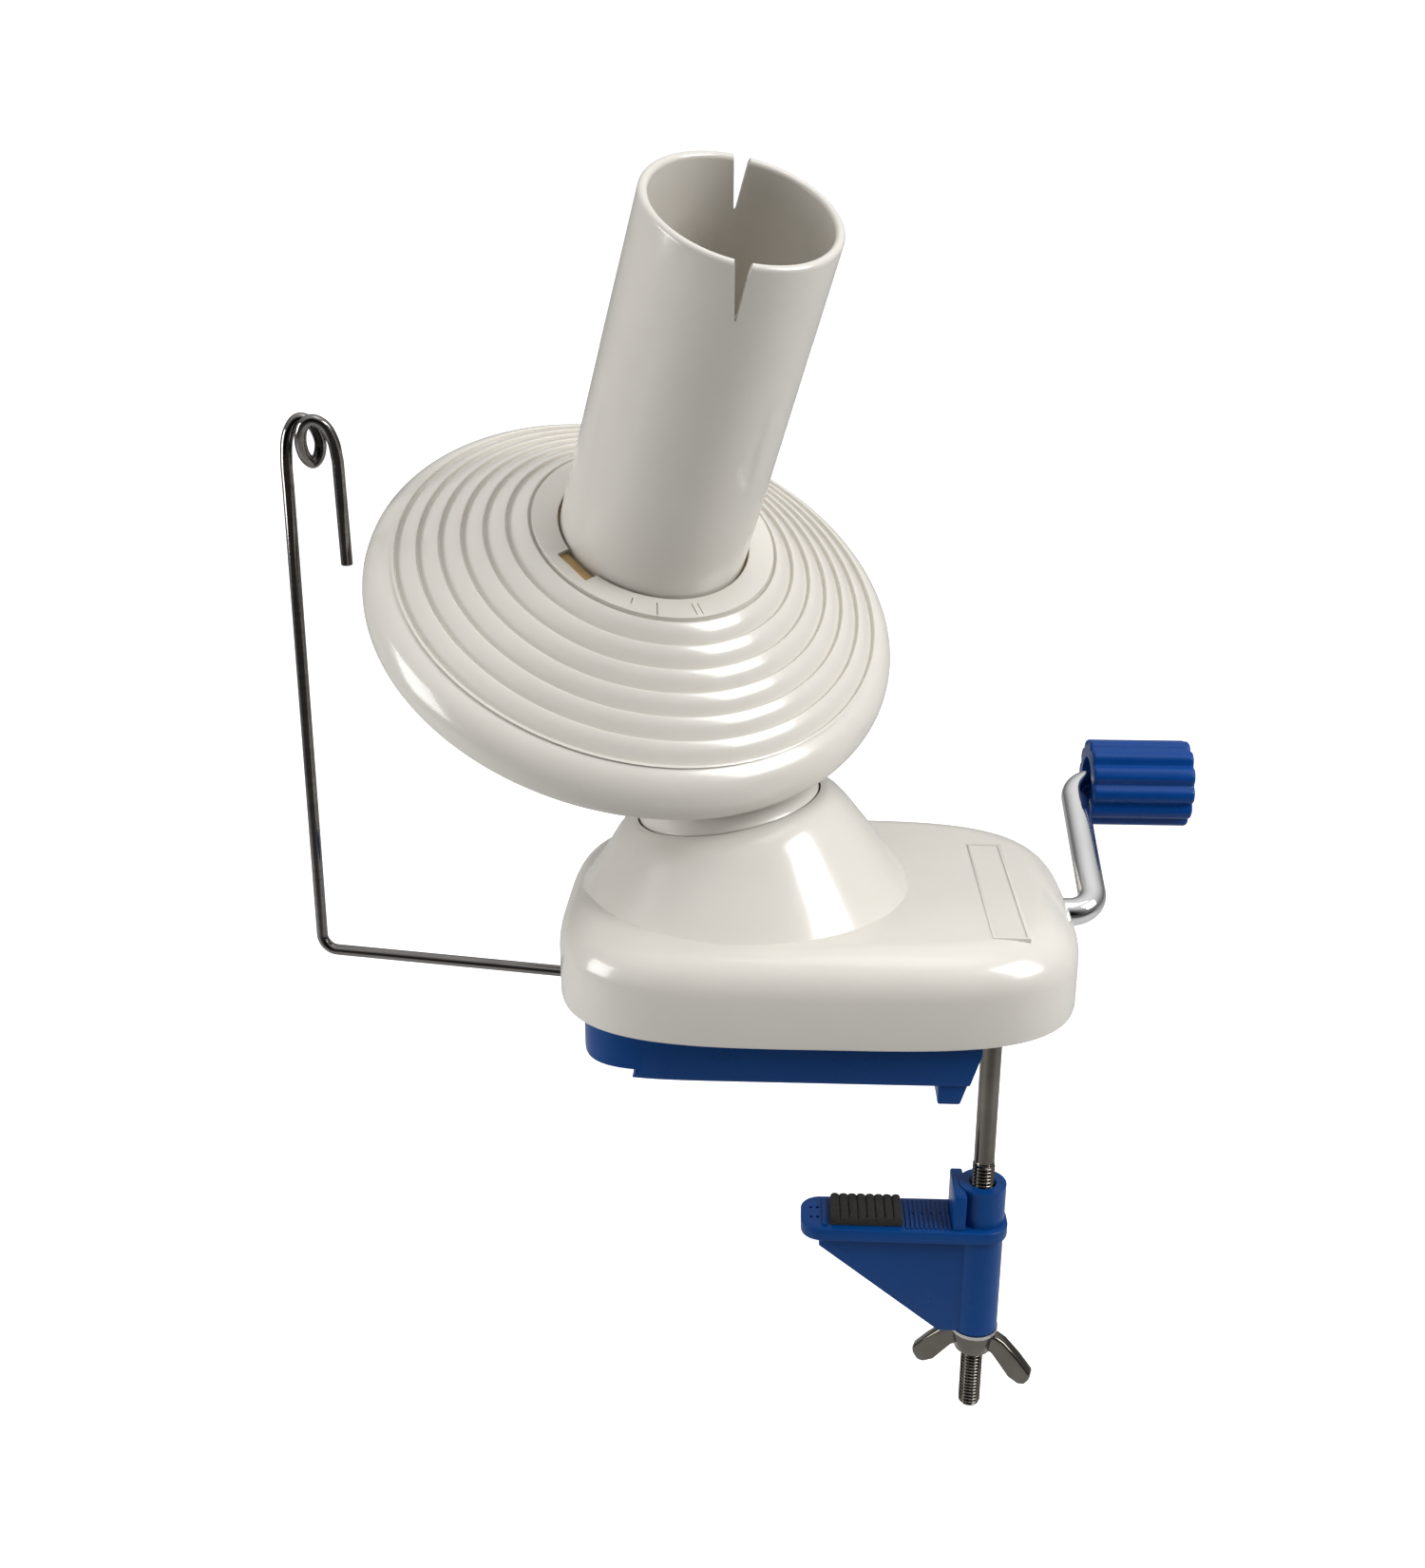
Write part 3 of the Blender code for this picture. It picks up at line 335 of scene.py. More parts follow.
def tube_along(name, points, radius, sides=32, caps=True):
    """Round wire swept along a poly line with parallel-transported rings and domed ends."""
    pts = [Vector(p) for p in points]
    t0 = (pts[1] - pts[0]).normalized()
    up = Vector((0, 0, 1)) if abs(t0.z) < 0.9 else Vector((0, 1, 0))
    n = (up - t0 * up.dot(t0)).normalized()
    rings = []
    prev = t0
    for i, p in enumerate(pts):
        if i == 0:
            t = t0
        elif i == len(pts) - 1:
            t = (pts[-1] - pts[-2]).normalized()
        else:
            t = ((pts[i + 1] - p).normalized() + (p - pts[i - 1]).normalized()).normalized()
        n = prev.rotation_difference(t) @ n
        n = (n - t * n.dot(t)).normalized()
        b = t.cross(n)
        prev = t
        rings.append((p, t, n, b, radius))
    first, last = rings[0], rings[-1]
    dome = [(0.55, 0.0), (0.85, 0.12), (1.0, 0.35)]
    full = []
    for k, d in dome:
        p, t, nn, b, r = first
        full.append((p + t * (radius * d * 0.6), nn, b, radius * k))
    for p, t, nn, b, r in rings[1:-1]:
        full.append((p, nn, b, r))
    for k, d in reversed(dome):
        p, t, nn, b, r = last
        full.append((p - t * (radius * d * 0.6), nn, b, radius * k))
    loops = [[p + (nn * math.cos(math.tau * i / sides) + b * math.sin(math.tau * i / sides)) * r for i in range(sides)] for p, nn, b, r in full]
    return loft(name, loops)


def smooth_path(points, per=6):
    pts = [Vector(p) for p in points]
    ext = [pts[0] * 2 - pts[1]] + pts + [pts[-1] * 2 - pts[-2]]
    out = []
    for i in range(1, len(ext) - 2):
        p0, p1, p2, p3 = ext[i - 1:i + 3]
        for k in range(per):
            t = k / per
            out.append(0.5 * ((2 * p1) + (p2 - p0) * t + (2 * p0 - 5 * p1 + 4 * p2 - p3) * t * t + (3 * p1 - p0 - 3 * p2 + p3) * t ** 3))
    out.append(pts[-1])
    return out


def fillet_path(points, radii, steps=16):
    pts = [Vector(p) for p in points]
    out = [pts[0]]
    for i in range(1, len(pts) - 1):
        r = radii[i - 1]
        a = (pts[i - 1] - pts[i]).normalized()
        b = (pts[i + 1] - pts[i]).normalized()
        half = a.angle(b) / 2
        d = r / math.tan(half)
        c = pts[i] + (a + b).normalized() * (r / math.sin(half))
        s, e = pts[i] + a * d - c, pts[i] + b * d - c
        total = s.angle(e)
        axis = s.cross(e).normalized()
        for k in range(steps + 1):
            out.append(c + Matrix.Rotation(total * k / steps, 3, axis) @ s)
    out.append(pts[-1])
    return out


def oval(a, b, n, count, x0=0.0, y0=0.0):
    """Superellipse, evenly spaced along its length."""
    fine = []
    for i in range(count * 8):
        t = math.tau * i / (count * 8)
        c, s = math.cos(t), math.sin(t)
        fine.append((x0 + a * math.copysign(abs(c) ** (2 / n), c), y0 + b * math.copysign(abs(s) ** (2 / n), s)))
    lens = [0.0]
    for p, q in zip(fine, fine[1:] + fine[:1]):
        lens.append(lens[-1] + math.hypot(q[0] - p[0], q[1] - p[1]))
    out, k = [], 0
    for i in range(count):
        target = lens[-1] * i / count
        while lens[k + 1] < target:
            k += 1
        f = (target - lens[k]) / max(1e-9, lens[k + 1] - lens[k])
        p, q = fine[k], fine[(k + 1) % len(fine)]
        out.append((p[0] + (q[0] - p[0]) * f, p[1] + (q[1] - p[1]) * f))
    return out


# ------------------------------------------------------------------ cover
CX0 = (cov_lo.x + cov_hi.x) / 2
CA, CB, CN = (cov_hi.x - cov_lo.x) / 2, (cov_hi.y - cov_lo.y) / 2, 3.6
C_BOTTOM, C_WALL_TOP, C_FIL = cov_lo.z, 25.2, 9.8
WALL = 2.4


def cover_rings(inset, bottom, count=200, dome=0.0):
    rings = [(CA - inset, CB - inset, bottom)]
    if not inset:
        rings = [(CA - 1.0, CB - 1.0, bottom), (CA - 0.45, CB - 0.45, bottom + 0.12), (CA - 0.12, CB - 0.12, bottom + 0.45), (CA, CB, bottom + 1.0)]
    f = C_FIL - inset
    for k in range(13):
        a = math.radians(90 * k / 12)
        rings.append((CA - inset - f * (1 - math.cos(a)), CB - inset - f * (1 - math.cos(a)), C_WALL_TOP + f * math.sin(a)))
    if not inset:
        a, b, z = rings[-1]
        rings += [(a - 0.5, b - 0.5, z), (a - 1.5, b - 1.5, z)]
    out = [[(x, y, z) for x, y in oval(a, b, CN, count, CX0)] for a, b, z in rings]
    if dome:
        a, b, z = rings[-1]
        for k, h in ((0.8, 0.25), (0.55, 0.45), (0.3, 0.55)):
            out.append([(x, y, z + dome * h) for x, y in oval(a * k, b * k, CN, count, CX0)])
    return out


def cone_rings(inset, table, count=144):
    out = []
    for k, r in table:
        cx, cz = 3.9 * k, SEAM.z / MM - 20.5 * k
        tl = LEAN * (1 - min(k, 1.0)) + math.radians(1.5) * min(k, 1.0)
        ring = []
        for i in range(count):
            t = math.tau * i / count
            x, y = (r - inset) * math.cos(t), (r - inset) * math.sin(t)
            ring.append((cx + x * math.cos(tl), y, cz + x * math.sin(tl)))
        out.append(ring)
    return out


CONE = [(1.35, 39.6), (1.0, 39.6), (0.9, 38.1), (0.75, 36.0), (0.6, 33.85), (0.5, 32.4), (0.38, 30.7), (0.28, 29.3), (0.2, 28.2), (0.14, 27.2), (0.09, 26.3), (0.05, 25.3), (0.025, 24.5), (0.01, 23.9), (0.0, 23.2)]
cover = place("casing_cover", loft("casing_cover", cover_rings(0, C_BOTTOM)), ivory)
cut(cover, loft("c1", cone_rings(0, CONE)), "UNION")
cut(cover, loft("c2", cover_rings(WALL, C_BOTTOM - 2, 120)))
cut(cover, loft("c3", cone_rings(WALL, [(1.6, 39.6), (1.0, 39.6), (0.75, 36.0), (0.5, 32.4), (0.42, 31.3)], 72)))
cut(cover, cyl("c4", 22.15, 11.6, 144, MAIN @ at(0, 0, 0.2)))
cut(cover, cyl("c5", 6.15, 24, 48, MAIN @ at(0, 0, -10)))
cut(cover, cyl("c6", 3.9, 30, 48, at(84, 0, SHAFT_Z) @ rot(90, "Y")))
# blank label: a thin raised frame across the deck's end
DECK = C_WALL_TOP + C_FIL
cut(cover, prism("c7", [(59.8, -33.6), (68.2, -33.6), (68.2, 22.8), (59.8, 22.8)], DECK - 0.8, DECK + 0.22, None, 0.08, 2), "UNION")
cut(cover, prism("c8", [(60.5, -32.9), (67.5, -32.9), (67.5, 22.1), (60.5, 22.1)], DECK - 0.03, DECK + 4, None, 0.0, 2))
resmooth(cover, 28)
# small locating nub by the crank
nub = place("casing_nub", lathe("casing_nub", [(0, 0.5), (0.9, 0.42), (1.3, 0.0), (1.5, -0.6), (0, -0.6)], 32), ivory, at(76.6, -4.5, 33.35) @ rot(28, "Y"))
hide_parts("cover")
for o in (cover, nub):
    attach(o, "base")

# ------------------------------------------------------------------ tray
TI = 4.6


def tray_ring(inset, z, n=7.0, count=200):
    return [(x, y, z) for x, y in oval(CA - TI - 1.8 - inset, CB - TI - 4.2 - inset, n, count, CX0)]


TZ = tray_lo.z
tray = place("base_tray_shell", loft("t0", [tray_ring(1.0, 0.0), tray_ring(0.5, 0.12), tray_ring(0.15, 0.5), tray_ring(0.0, 1.2), tray_ring(0.0, 8.0), tray_ring(0.0, 12.9), tray_ring(0.0, 13.3, CN), tray_ring(0.0, 17.0, CN)]), blue)
cut(tray, prism("t1", [(-60, -5), (-21.0, -5), (-20.6, 0.6), (-20.0, 1.5), (-18.9, 2.0), (-18.3, 2.5), (-60, 2.5)], -60, 60, rot(90, "X")))
cut(tray, prism("t2", [(54.3, -9), (100, -9), (100, 20), (58.4, 20), (58.4, 8.0), (54.3, -5.2)], -60, 60, rot(90, "X")))
fine = [p for p in oval(CA - TI - 4.1, CB - TI - 6.5, CN, 200, CX0)]
cut(tray, prism("t3", [p for p in fine if -17.8 <= p[0] <= 46.4], 2.6, 22))
cut(tray, prism("t4", [p for p in fine if -33.0 <= p[0] <= -20.2], 3.25, 22))
cut(tray, block("t5", 46, 100, -34, 34, 13, 22))
cut(tray, block("t6", -21.0, -17.0, -33, 33, 10, 22))
cut(tray, block("t7", 47, 74.6, -15, 15, 4.5, 12.9, 0.4), "UNION")
cut(tray, block("t8", 50.5, 72.4, -12.8, 12.8, 6.8, 22))
cut(tray, cyl("t9", 6.6, 10, 48, at(ROD_X, 0, 8.2)), "UNION")
rib = prism("t10", [(49.0, -5.2), (54.2, -5.2), (58.3, 8.0), (49.0, 8.0)], -37, 37, rot(90, "X"), 0.5, 3)
cut(tray, rib, "UNION")
cut(tray, cyl("t11", 2.8, 40, 48, at(ROD_X, 0, 0)))
cut(tray, block("t12", 59.0, ROD_X, -2.9, 2.9, 6.9, 22))
cut(tray, block("t13", 52.5, ROD_X + 0.1, -2.9, 2.9, 10.1, 22))
cut(tray, block("t14", 33, 37, -8, 8, 1.0, 32.4), "UNION")
cut(tray, block("t15", 69.4, 73.4, -8, 8, 5.0, 31.6), "UNION")
cut(tray, cyl("t16", 4.65, 120, 48, at(60, 0, SHAFT_Z) @ rot(90, "Y")))
FOOT_T = -(SEAM.z / MM - 3.4) / math.cos(LEAN)
cut(tray, cyl("t17", 5.2, 4.5, 48, MAIN @ at(0, 0, FOOT_T + 0.85)), "UNION")
cut(tray, cyl("t18", 1.9, 6.6, 32, MAIN @ at(0, 0, FOOT_T + 2.7)))
for i, (x, y) in enumerate([(-25, -23), (-25, 23), (42, -27), (42, 27)]):
    cut(tray, cyl("t19", 3.7, 11.1, 32, at(x, y, 7.25)), "UNION")
    cut(tray, cyl("t20", 4.2, 8.0, 32, at(x, y, 17.1)))
    cut(tray, cyl("t21", 1.75, 40, 32, at(x, y, 10)))
    cut(tray, cyl("t22", 3.2, 9.0, 32, at(x, y, 2.5 if x < 0 else 0.5)))
ya = math.radians(9.6)
leg_m = Matrix.Translation(Vector((LEG.x, LEG.y, LEG.z)) * MM) @ Matrix.Rotation(-ya, 4, "Z") @ rot(90, "Y")
cut(tray, cyl("t23", 1.55, 60, 24, leg_m @ at(0, 0, 20)))
resmooth(tray, 25)
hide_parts("base_tray")
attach(tray, "base")

# ------------------------------------------------------------------ rotor neck
NECK_R = 21.7


def neck_ring(u, inset, floor=0.0, count=128):
    ring = []
    for i in range(count):
        t = math.tau * i / count
        a = Vector(((NECK_R - inset) * math.cos(t), (NECK_R - inset) * math.sin(t), floor))
        h = 5.0 - 4.0 * math.cos(t)
        b = a + Vector((0, 0, h))
        local = Vector((16.0 + (24.0 - inset) * math.cos(t), (24.0 - inset) * math.sin(t), -45.0 - (3.0 if inset > 1 else 0.0)))
        c = Vector((0, 0, CROSS_T)) + Matrix.Rotation(TILT, 3, "Y") @ local
        ring.append(tuple(a * (1 - u) ** 2 + b * 2 * u * (1 - u) + c * u * u))
    return ring


def disc(r, z, count=128):
    return [(r * math.cos(math.tau * i / count), r * math.sin(math.tau * i / count), z) for i in range(count)]


rings = [disc(20.6, -4.4), disc(21.3, -4.2), disc(21.45, -3.6), disc(21.45, -1.2), disc(21.35, -0.5), disc(21.5, -0.1)] + [neck_ring(k / 16, 0.0) for k in range(0, 16)] + [neck_ring(0.985, 0.0), neck_ring(1.0, 0.5)]
rotor = place("rotor_neck", loft("r0", rings), ivory, ROTOR)
cut(rotor, loft("r1", [neck_ring(k / 8, 2.0 + 4.2 * k / 8, -1.9, 64) for k in range(9)]), matrix=ROTOR)
cut(rotor, cyl("r2", 3.3, 13, 48), matrix=ROTOR @ at(0, 0, -2.5))
cut(rotor, cyl("r3", 3.6, 58, 48), matrix=ROTOR @ at(0, 0, 31))
cut(rotor, lathe("r4", [(0, -14.0), (3.5, -14.0), (3.9, -14.4), (3.9, -41.0), (6.6, -44.5), (6.6, -47.5), (0, -47.5)], 64, closed=False), "UNION", matrix=SPOOL)
cut(rotor, cyl("r5", 1.5, 20, 24), matrix=SPOOL @ at(0, 0, -20))
resmooth(rotor, 30)
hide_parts("rotor")
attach(rotor, "rotor_unit")

# ------------------------------------------------------------------ disk with stepped rings
RIM_C, RIM_Z, RIM_R = 55.8, -38.2, 8.3
prof = [(22.4, -14.3), (22.52, -14.1), (22.8, -14.0), (28.3, -14.15)]
for k in range(6, -1, -1):
    r, z = 57.8 - 4.75 * k, -29.6 + 2.5 * k
    prof += [(r - 0.62, z - 0.98), (r - 0.5, z - 0.95), (r - 0.38, z - 0.82), (r - 0.22, z - 0.25), (r - 0.08, z - 0.04), (r + 0.1, z + 0.02), (r + 0.5, z - 0.12)]
    if k:
        prof += [(r + 2.2, z - 1.25)]
for k in range(0, 17):
    a = math.radians(74 - 92 * k / 16)
    prof.append((RIM_C + RIM_R * math.cos(a), RIM_Z + RIM_R * math.sin(a)))
a = math.radians(-22)
prof.append((RIM_C + (RIM_R - 0.4) * math.cos(a), RIM_Z + (RIM_R - 0.3) * math.sin(a)))
prof.append((RIM_C + (RIM_R - 1.6) * math.cos(a), RIM_Z + (RIM_R - 1.7) * math.sin(a)))
for k in range(1, 12):
    a = math.radians(-22 + 84 * k / 11)
    prof.append((RIM_C + (RIM_R - 2) * math.cos(a), RIM_Z + (RIM_R - 2) * math.sin(a)))
prof += [(28.2, -16.9), (28.2, -19.4), (26.0, -19.4), (26.0, -16.0), (22.4, -16.0)]
disk = place("spool_disk_shell", lathe("d0", prof, 192), ivory, SPOOL)
cut(disk, block("d1", 22.0, 25.4, -4.9, 4.9, -15.98, -10, 0.2, 2), matrix=SPOOL @ rot(-84, "Z"))
for th, r0, r1, w in ((-48.0, 24.4, 26.2, 0.28), (-35.0, 24.2, 28.0, 0.28), (-16.0, 24.2, 27.6, 0.28), (-12.8, 24.2, 27.6, 0.28)):
    cut(disk, block("d2", r0, r1, -w / 2, w / 2, -14.5, -12), matrix=SPOOL @ rot(th, "Z"))
resmooth(disk, 22)
tab = place("hub_tab", block("hub_tab", 22.35, 25.3, -4.8, 4.8, -15.97, -15.0, 0.1, 2), amber, SPOOL @ rot(-84, "Z"))
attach(tab, "spool")
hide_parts("spool_disk")
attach(disk, "spool")

# ------------------------------------------------------------------ winding tube
TT, TB = 68.3, -15.9
RT, RL = 20.7, 21.9
prof = []
for k in range(13):
    a = math.radians(180 - 180 * k / 12)
    prof.append((RT - 1.0 + 1.0 * math.cos(a), TT - 1.0 + 1.0 * math.sin(a)))
for k in range(1, 13):
    prof.append((RT + (RL - RT) * k / 12, TT - 1 + (TB - TT + 1) * k / 12))
for k in range(0, 12):
    prof.append((RL - 2 + (RT - RL) * k / 12, TB + (TT - 1 - TB) * k / 12))
tube = place("winding_tube", lathe("w0", prof, 160), ivory, SPOOL)
slot_me = prism("w1", [(-2.4, TT + 3), (-1.75, TT - 0.4), (-1.35, TT - 1.6), (1.05, TT - 11.6), (1.25, TT - 12.0), (1.45, TT - 11.6), (1.45, TT - 1.6), (1.65, TT - 0.5), (2.2, TT + 3)], -30, 30, rot(90, "X"))
cut(tube, slot_me, matrix=SPOOL @ rot(-38.0 + 90, "Z"))
resmooth(tube, 30)
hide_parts("spool_tube")
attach(tube, "spool")

# ------------------------------------------------------------------ crank and grip
ARM_X = 88.8
crank = place("crank_bent_rod", tube_along("k0", fillet_path([(11.2, 0, SHAFT_Z), (ARM_X, 0, SHAFT_Z), (ARM_X, PIN_Y, PIN_Z), (117.0, PIN_Y, PIN_Z)], [6.5, 6.5], 20), 3.4, 48), chrome, smooth=40)
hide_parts("crank_rod")
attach(crank, "crank")

FL = 12


def grip_ring(x, r, depth):
    ring = []
    n = FL * 12
    for i in range(n):
        t = i / 12 % 1.0
        w = 0.5 - 0.5 * math.cos(math.tau * t)
        d = depth * (w ** 2.2)
        a = math.tau * i / n
        rr = r - d
        ring.append((x, PIN_Y + rr * math.cos(a), PIN_Z + rr * math.sin(a)))
    return ring


g0, g1 = grip_lo.x, grip_hi.x
gr = []
for k in range(7):
    a = math.radians(90 * k / 6)
    gr.append(grip_ring(g0 + 0.9 * (1 - math.sin(a)), 11.3 - 0.9 * (1 - math.cos(a)) - 0.0, 0.35 + 0.5 * math.sin(a)))
gr = gr[::-1]
gr = [grip_ring(g0 + 0.9 * (1 - math.sin(math.radians(90 * k / 6))), 11.3 - 0.9 * (1 - math.cos(math.radians(90 * k / 6))), 1.25) for k in range(6, -1, -1)]
gr += [grip_ring(g0 + (g1 - g0) * f, 11.3, 1.25) for f in (0.2, 0.5, 0.8)]
gr += [grip_ring(g1 - 0.9 * (1 - math.sin(math.radians(90 * k / 6))), 11.3 - 0.9 * (1 - math.cos(math.radians(90 * k / 6))), 1.25) for k in range(0, 7)]
grip = place("grip_barrel", loft("g0", gr), blue_grip)
cut(grip, lathe("g1", [(0, 130), (7.2, 130), (7.2, 114.5), (3.6, 114.5), (3.6, 97.5), (6.6, 97.5), (6.6, 80), (0, 80)], 64, closed=False), matrix=at(0, PIN_Y, PIN_Z) @ rot(90, "Y"))
resmooth(grip, 30)
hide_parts("crank_grip")
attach(grip, "grip")

# ------------------------------------------------------------------ yarn guide
CX, CY = -106.7, 17.95
head = smooth_path([(-105.3, CY, 125.0), (-105.25, CY, 131.0), (-104.7, CY + 0.3, 136.5), (-103.2, CY + 0.9, 139.9), (-101.3, CY + 1.5, 141.0), (-99.0, CY + 2.2, 139.6),
                    (-97.6, CY + 2.6, 136.0), (-97.9, CY + 2.4, 132.6), (-99.3, CY + 1.4, 130.8), (-100.7, CY - 0.2, 132.6), (-101.0, CY - 1.6, 136.2), (-100.0, CY - 2.4, 139.6),
                    (-97.6, CY - 2.4, 141.1), (-94.9, CY - 1.8, 139.6), (-93.3, CY - 1.3, 136.0), (-92.7, CY - 1.0, 131.5)], 10)
ld = Vector((-math.cos(ya), math.sin(ya), 0))
start = LEG - ld * ((LEG.x + 11.8) / ld.x * 1.0) if False else Vector((-11.8, LEG.y + (-11.8 - LEG.x) * ld.y / ld.x, LEG.z))
path = fillet_path([start, Vector((CX, CY, LEG.z)), head[0]], [4.0], 14)
path = path[:-1] + head + [Vector((-92.5, CY - 0.6, 106.6))]
guide = place("yarn_guide", tube_along("y0", path, 1.42, 28), dark_wire, smooth=40)
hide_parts("guide_wire")
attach(guide, "guide")

# ------------------------------------------------------------------ clamp rod with its thread
shank = place("clamp_bent_rod", tube_along("q0", fillet_path([(53.6, 0, 12.9), (ROD_X, 0, 12.9), (ROD_X, 0, -43.4)], [4.5], 14), 2.65, 40), nickel_painted_dark, smooth=40)
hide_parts("clamp_rod")
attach(shank, "base")

R_OUT, R_ROOT, PITCH = 2.9, 2.25, 1.0
top, bot = -42.6, rod_lo.z
rows, sides, per = [], 40, 8
count = int((top - bot) / PITCH * per)
for i in range(count + 1):
    z = top - i * PITCH / per
    ring = []
    for j in range(sides):
        ph = (z / PITCH + j / sides) % 1.0
        tri = 1 - abs(ph * 2 - 1)
        tri = min(1.0, max(0.0, (tri - 0.1) / 0.75))
        r = R_ROOT + (R_OUT - R_ROOT) * tri
        end = min(1.0, (z - bot) / 0.9)
        start_f = min(1.0, (top - z) / 1.5)
        r = min(r, R_ROOT + 0.0 + (R_OUT - R_ROOT) * end)
        r = R_ROOT + 0.25 + (r - R_ROOT - 0.25) * start_f if start_f < 1 else r
        ring.append((ROD_X + r * math.cos(math.tau * j / sides), r * math.sin(math.tau * j / sides), z))
    rows.append(ring)
thread = place("clamp_thread", loft("q1", rows), nickel_painted_dark, smooth=60)
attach(thread, "base")

# ------------------------------------------------------------------ clamp jaw
JT, BT, JB = -60.0, -49.4, -93.0


def arc_plate():
    pts = []
    for k in range(13):
        a = math.radians(180 + 90 * k / 12)
        pts.append((24.6 + 5.4 * math.cos(a), -2.4 + 5.2 * math.sin(a)))
    for k in range(13):
        a = math.radians(-90 + 90 * k / 12)
        pts.append((66.6 + 6.2 * math.cos(a), -1.6 + 6.2 * math.sin(a)))
    return pts + [(x, -y) for x, y in reversed(pts)]


jaw = place("jaw_bracket", prism("j0", arc_plate(), JT - 3.5, JT, None, 0.35, 3), blue)
cut(jaw, cyl("j1", 6.1, BT - JB, 64, at(ROD_X, 0, (BT + JB) / 2)), "UNION")
cut(jaw, prism("j2", [(24.0, JT - 2), (24.0, -67.2), (56.0, -92.7), (66.0, -92.7), (66.0, JT - 2)], -4.4, 4.4, rot(90, "X"), 0.3, 2), "UNION")
cut(jaw, block("j3", 58.2, 61.4, -6.8, 6.8, JT - 2, -49.8, 0.5, 3), "UNION")
cut(jaw, block("j4", 23.0, 26.2, -5.2, 5.2, -65.0, JT - 2, 0.3, 2), "UNION")
for i in range(10):
    x = 46.3 + 1.22 * i
    cut(jaw, block("j5", x, x + 0.62, -6.4, 6.4, JT - 1, JT + 0.55, 0.12, 1), "UNION")
cut(jaw, block("j6", 24.8, 26.2, -6.0, 6.0, JT - 1, JT + 0.6, 0.2, 2), "UNION")
for i in range(5):
    cut(jaw, cyl("j7", 0.42, 2.0, 16, at(48.2 + 2.44 * i, 0.6, JT + 0.6)))
for x, y in ((21.9, -1.9), (21.9, 2.3), (23.6, -1.9), (23.6, 2.3)):
    cut(jaw, cyl("j8", 0.5, 1.6, 16, at(x, y, JT)))
cut(jaw, cyl("j9", 3.1, 80, 48, at(ROD_X, 0, -70)))
cut(jaw, lathe("j10", [(0, 1.0), (4.4, 1.0), (3.1, -0.5), (0, -0.5)], 48, closed=False), matrix=at(ROD_X, 0, BT))
resmooth(jaw, 28)
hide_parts("clamp_jaw")
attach(jaw, "jaw")

# ribbed foam pad: a soft strip with rounded crests
pl, ph = pad_lo, pad_hi
n_rib = 8
nx, ny = 145, 25
bm = bmesh.new()
grid = []
for i in range(nx):
    u = i / (nx - 1)
    x = pl.x + (ph.x - pl.x) * u
    row = []
    for k in range(ny):
        v = k / (ny - 1)
        y = pl.y + (ph.y - pl.y) * v
        edge = min(1.0, min(u, 1 - u) / 0.03, min(v, 1 - v) / 0.06)
        lift = math.sqrt(max(0.0, 1 - (1 - edge) ** 2))
        crest = abs(math.sin(math.pi * n_rib * u)) ** 0.45
        wob = 0.06 * math.sin(37.0 * u + 5.0 * v) + 0.05 * math.sin(91.0 * u * (1 + v))
        z = pl.z + 0.7 + (ph.z - pl.z - 0.75) * (0.62 + 0.38 * crest) * (0.55 + 0.45 * lift) + wob * lift * 0.5
        row.append(bm.verts.new((x * MM, y * MM, z * MM)))
    grid.append(row)
low = [[bm.verts.new((v.co.x, v.co.y, pl.z * MM)) for v in row] for row in grid]
for i in range(nx - 1):
    for k in range(ny - 1):
        bm.faces.new((grid[i][k], grid[i + 1][k], grid[i + 1][k + 1], grid[i][k + 1]))
        bm.faces.new((low[i][k], low[i][k + 1], low[i + 1][k + 1], low[i + 1][k]))
for i in range(nx - 1):
    for k in (0, ny - 1):
        bm.faces.new((grid[i][k], grid[i + 1][k], low[i + 1][k], low[i][k]))
for k in range(ny - 1):
    for i in (0, nx - 1):
        bm.faces.new((grid[i][k], grid[i][k + 1], low[i][k + 1], low[i][k]))
pad = place("foam_pad", done(bm, "p0"), foam, smooth=70)
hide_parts("jaw_pad")
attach(pad, "jaw")

# ------------------------------------------------------------------ wing nut
nut = place("wing_nut_cast", lathe("n0", [(3.0, JB - 1.5), (5.2, JB - 1.4), (5.6, JB - 1.8), (5.6, JB - 3.3), (5.3, JB - 4.4), (4.9, JB - 7.2), (4.5, JB - 7.6), (3.0, JB - 7.6)], 64), nickel_painted_dark, at(ROD_X, 0, 0))
NT = rot(-18.0, "Z")
for sgn in (-1, 1):
    wing = [(sgn * 4.2, JB - 2.2), (sgn * 6.4, JB - 2.2), (sgn * 8.6, JB - 3.4), (sgn * 12.6, JB - 7.4), (sgn * 16.1, JB - 11.6), (sgn * 15.9, JB - 13.2), (sgn * 14.6, JB - 15.2), (sgn * 12.9, JB - 15.4),
            (sgn * 10.2, JB - 13.9), (sgn * 7.4, JB - 10.2), (sgn * 5.4, JB - 7.6), (sgn * 4.2, JB - 7.2)]
    cut(nut, prism("n1", wing, -1.75, 1.75, rot(90, "X"), 0.9, 4), "UNION", matrix=at(ROD_X, 0, 0) @ NT)
cut(nut, cyl("n2", 3.0, 40, 48), matrix=at(ROD_X, 0, JB - 5))
resmooth(nut, 40)
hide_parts("wing_nut")
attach(nut, "nut")

# ------------------------------------------------------------------ carried-over inner nodes
inner = {
    "centre_post": steel, "sun_gear": steel, "neck_bush": bronze, "thrust_washer": steel, "crank_bush_inner": bronze, "crank_bush_outer": bronze,
    "rotor_shaft": steel, "pinion": bronze, "axle_washer": zinc, "axle_screw": zinc, "spool_hub": amber, "drive_gear": nylon, "gear_set_screw": steel,
    "grip_retainer": steel, "guide_clip": steel, "clamp_washer": zinc,
    "cover_screw_1": zinc, "cover_screw_2": zinc, "cover_screw_3": zinc, "cover_screw_4": zinc,
}
for name, mat in inner.items():
    o = frame["nodes"][name]
    o.data.materials.clear()
    o.data.materials.append(mat)

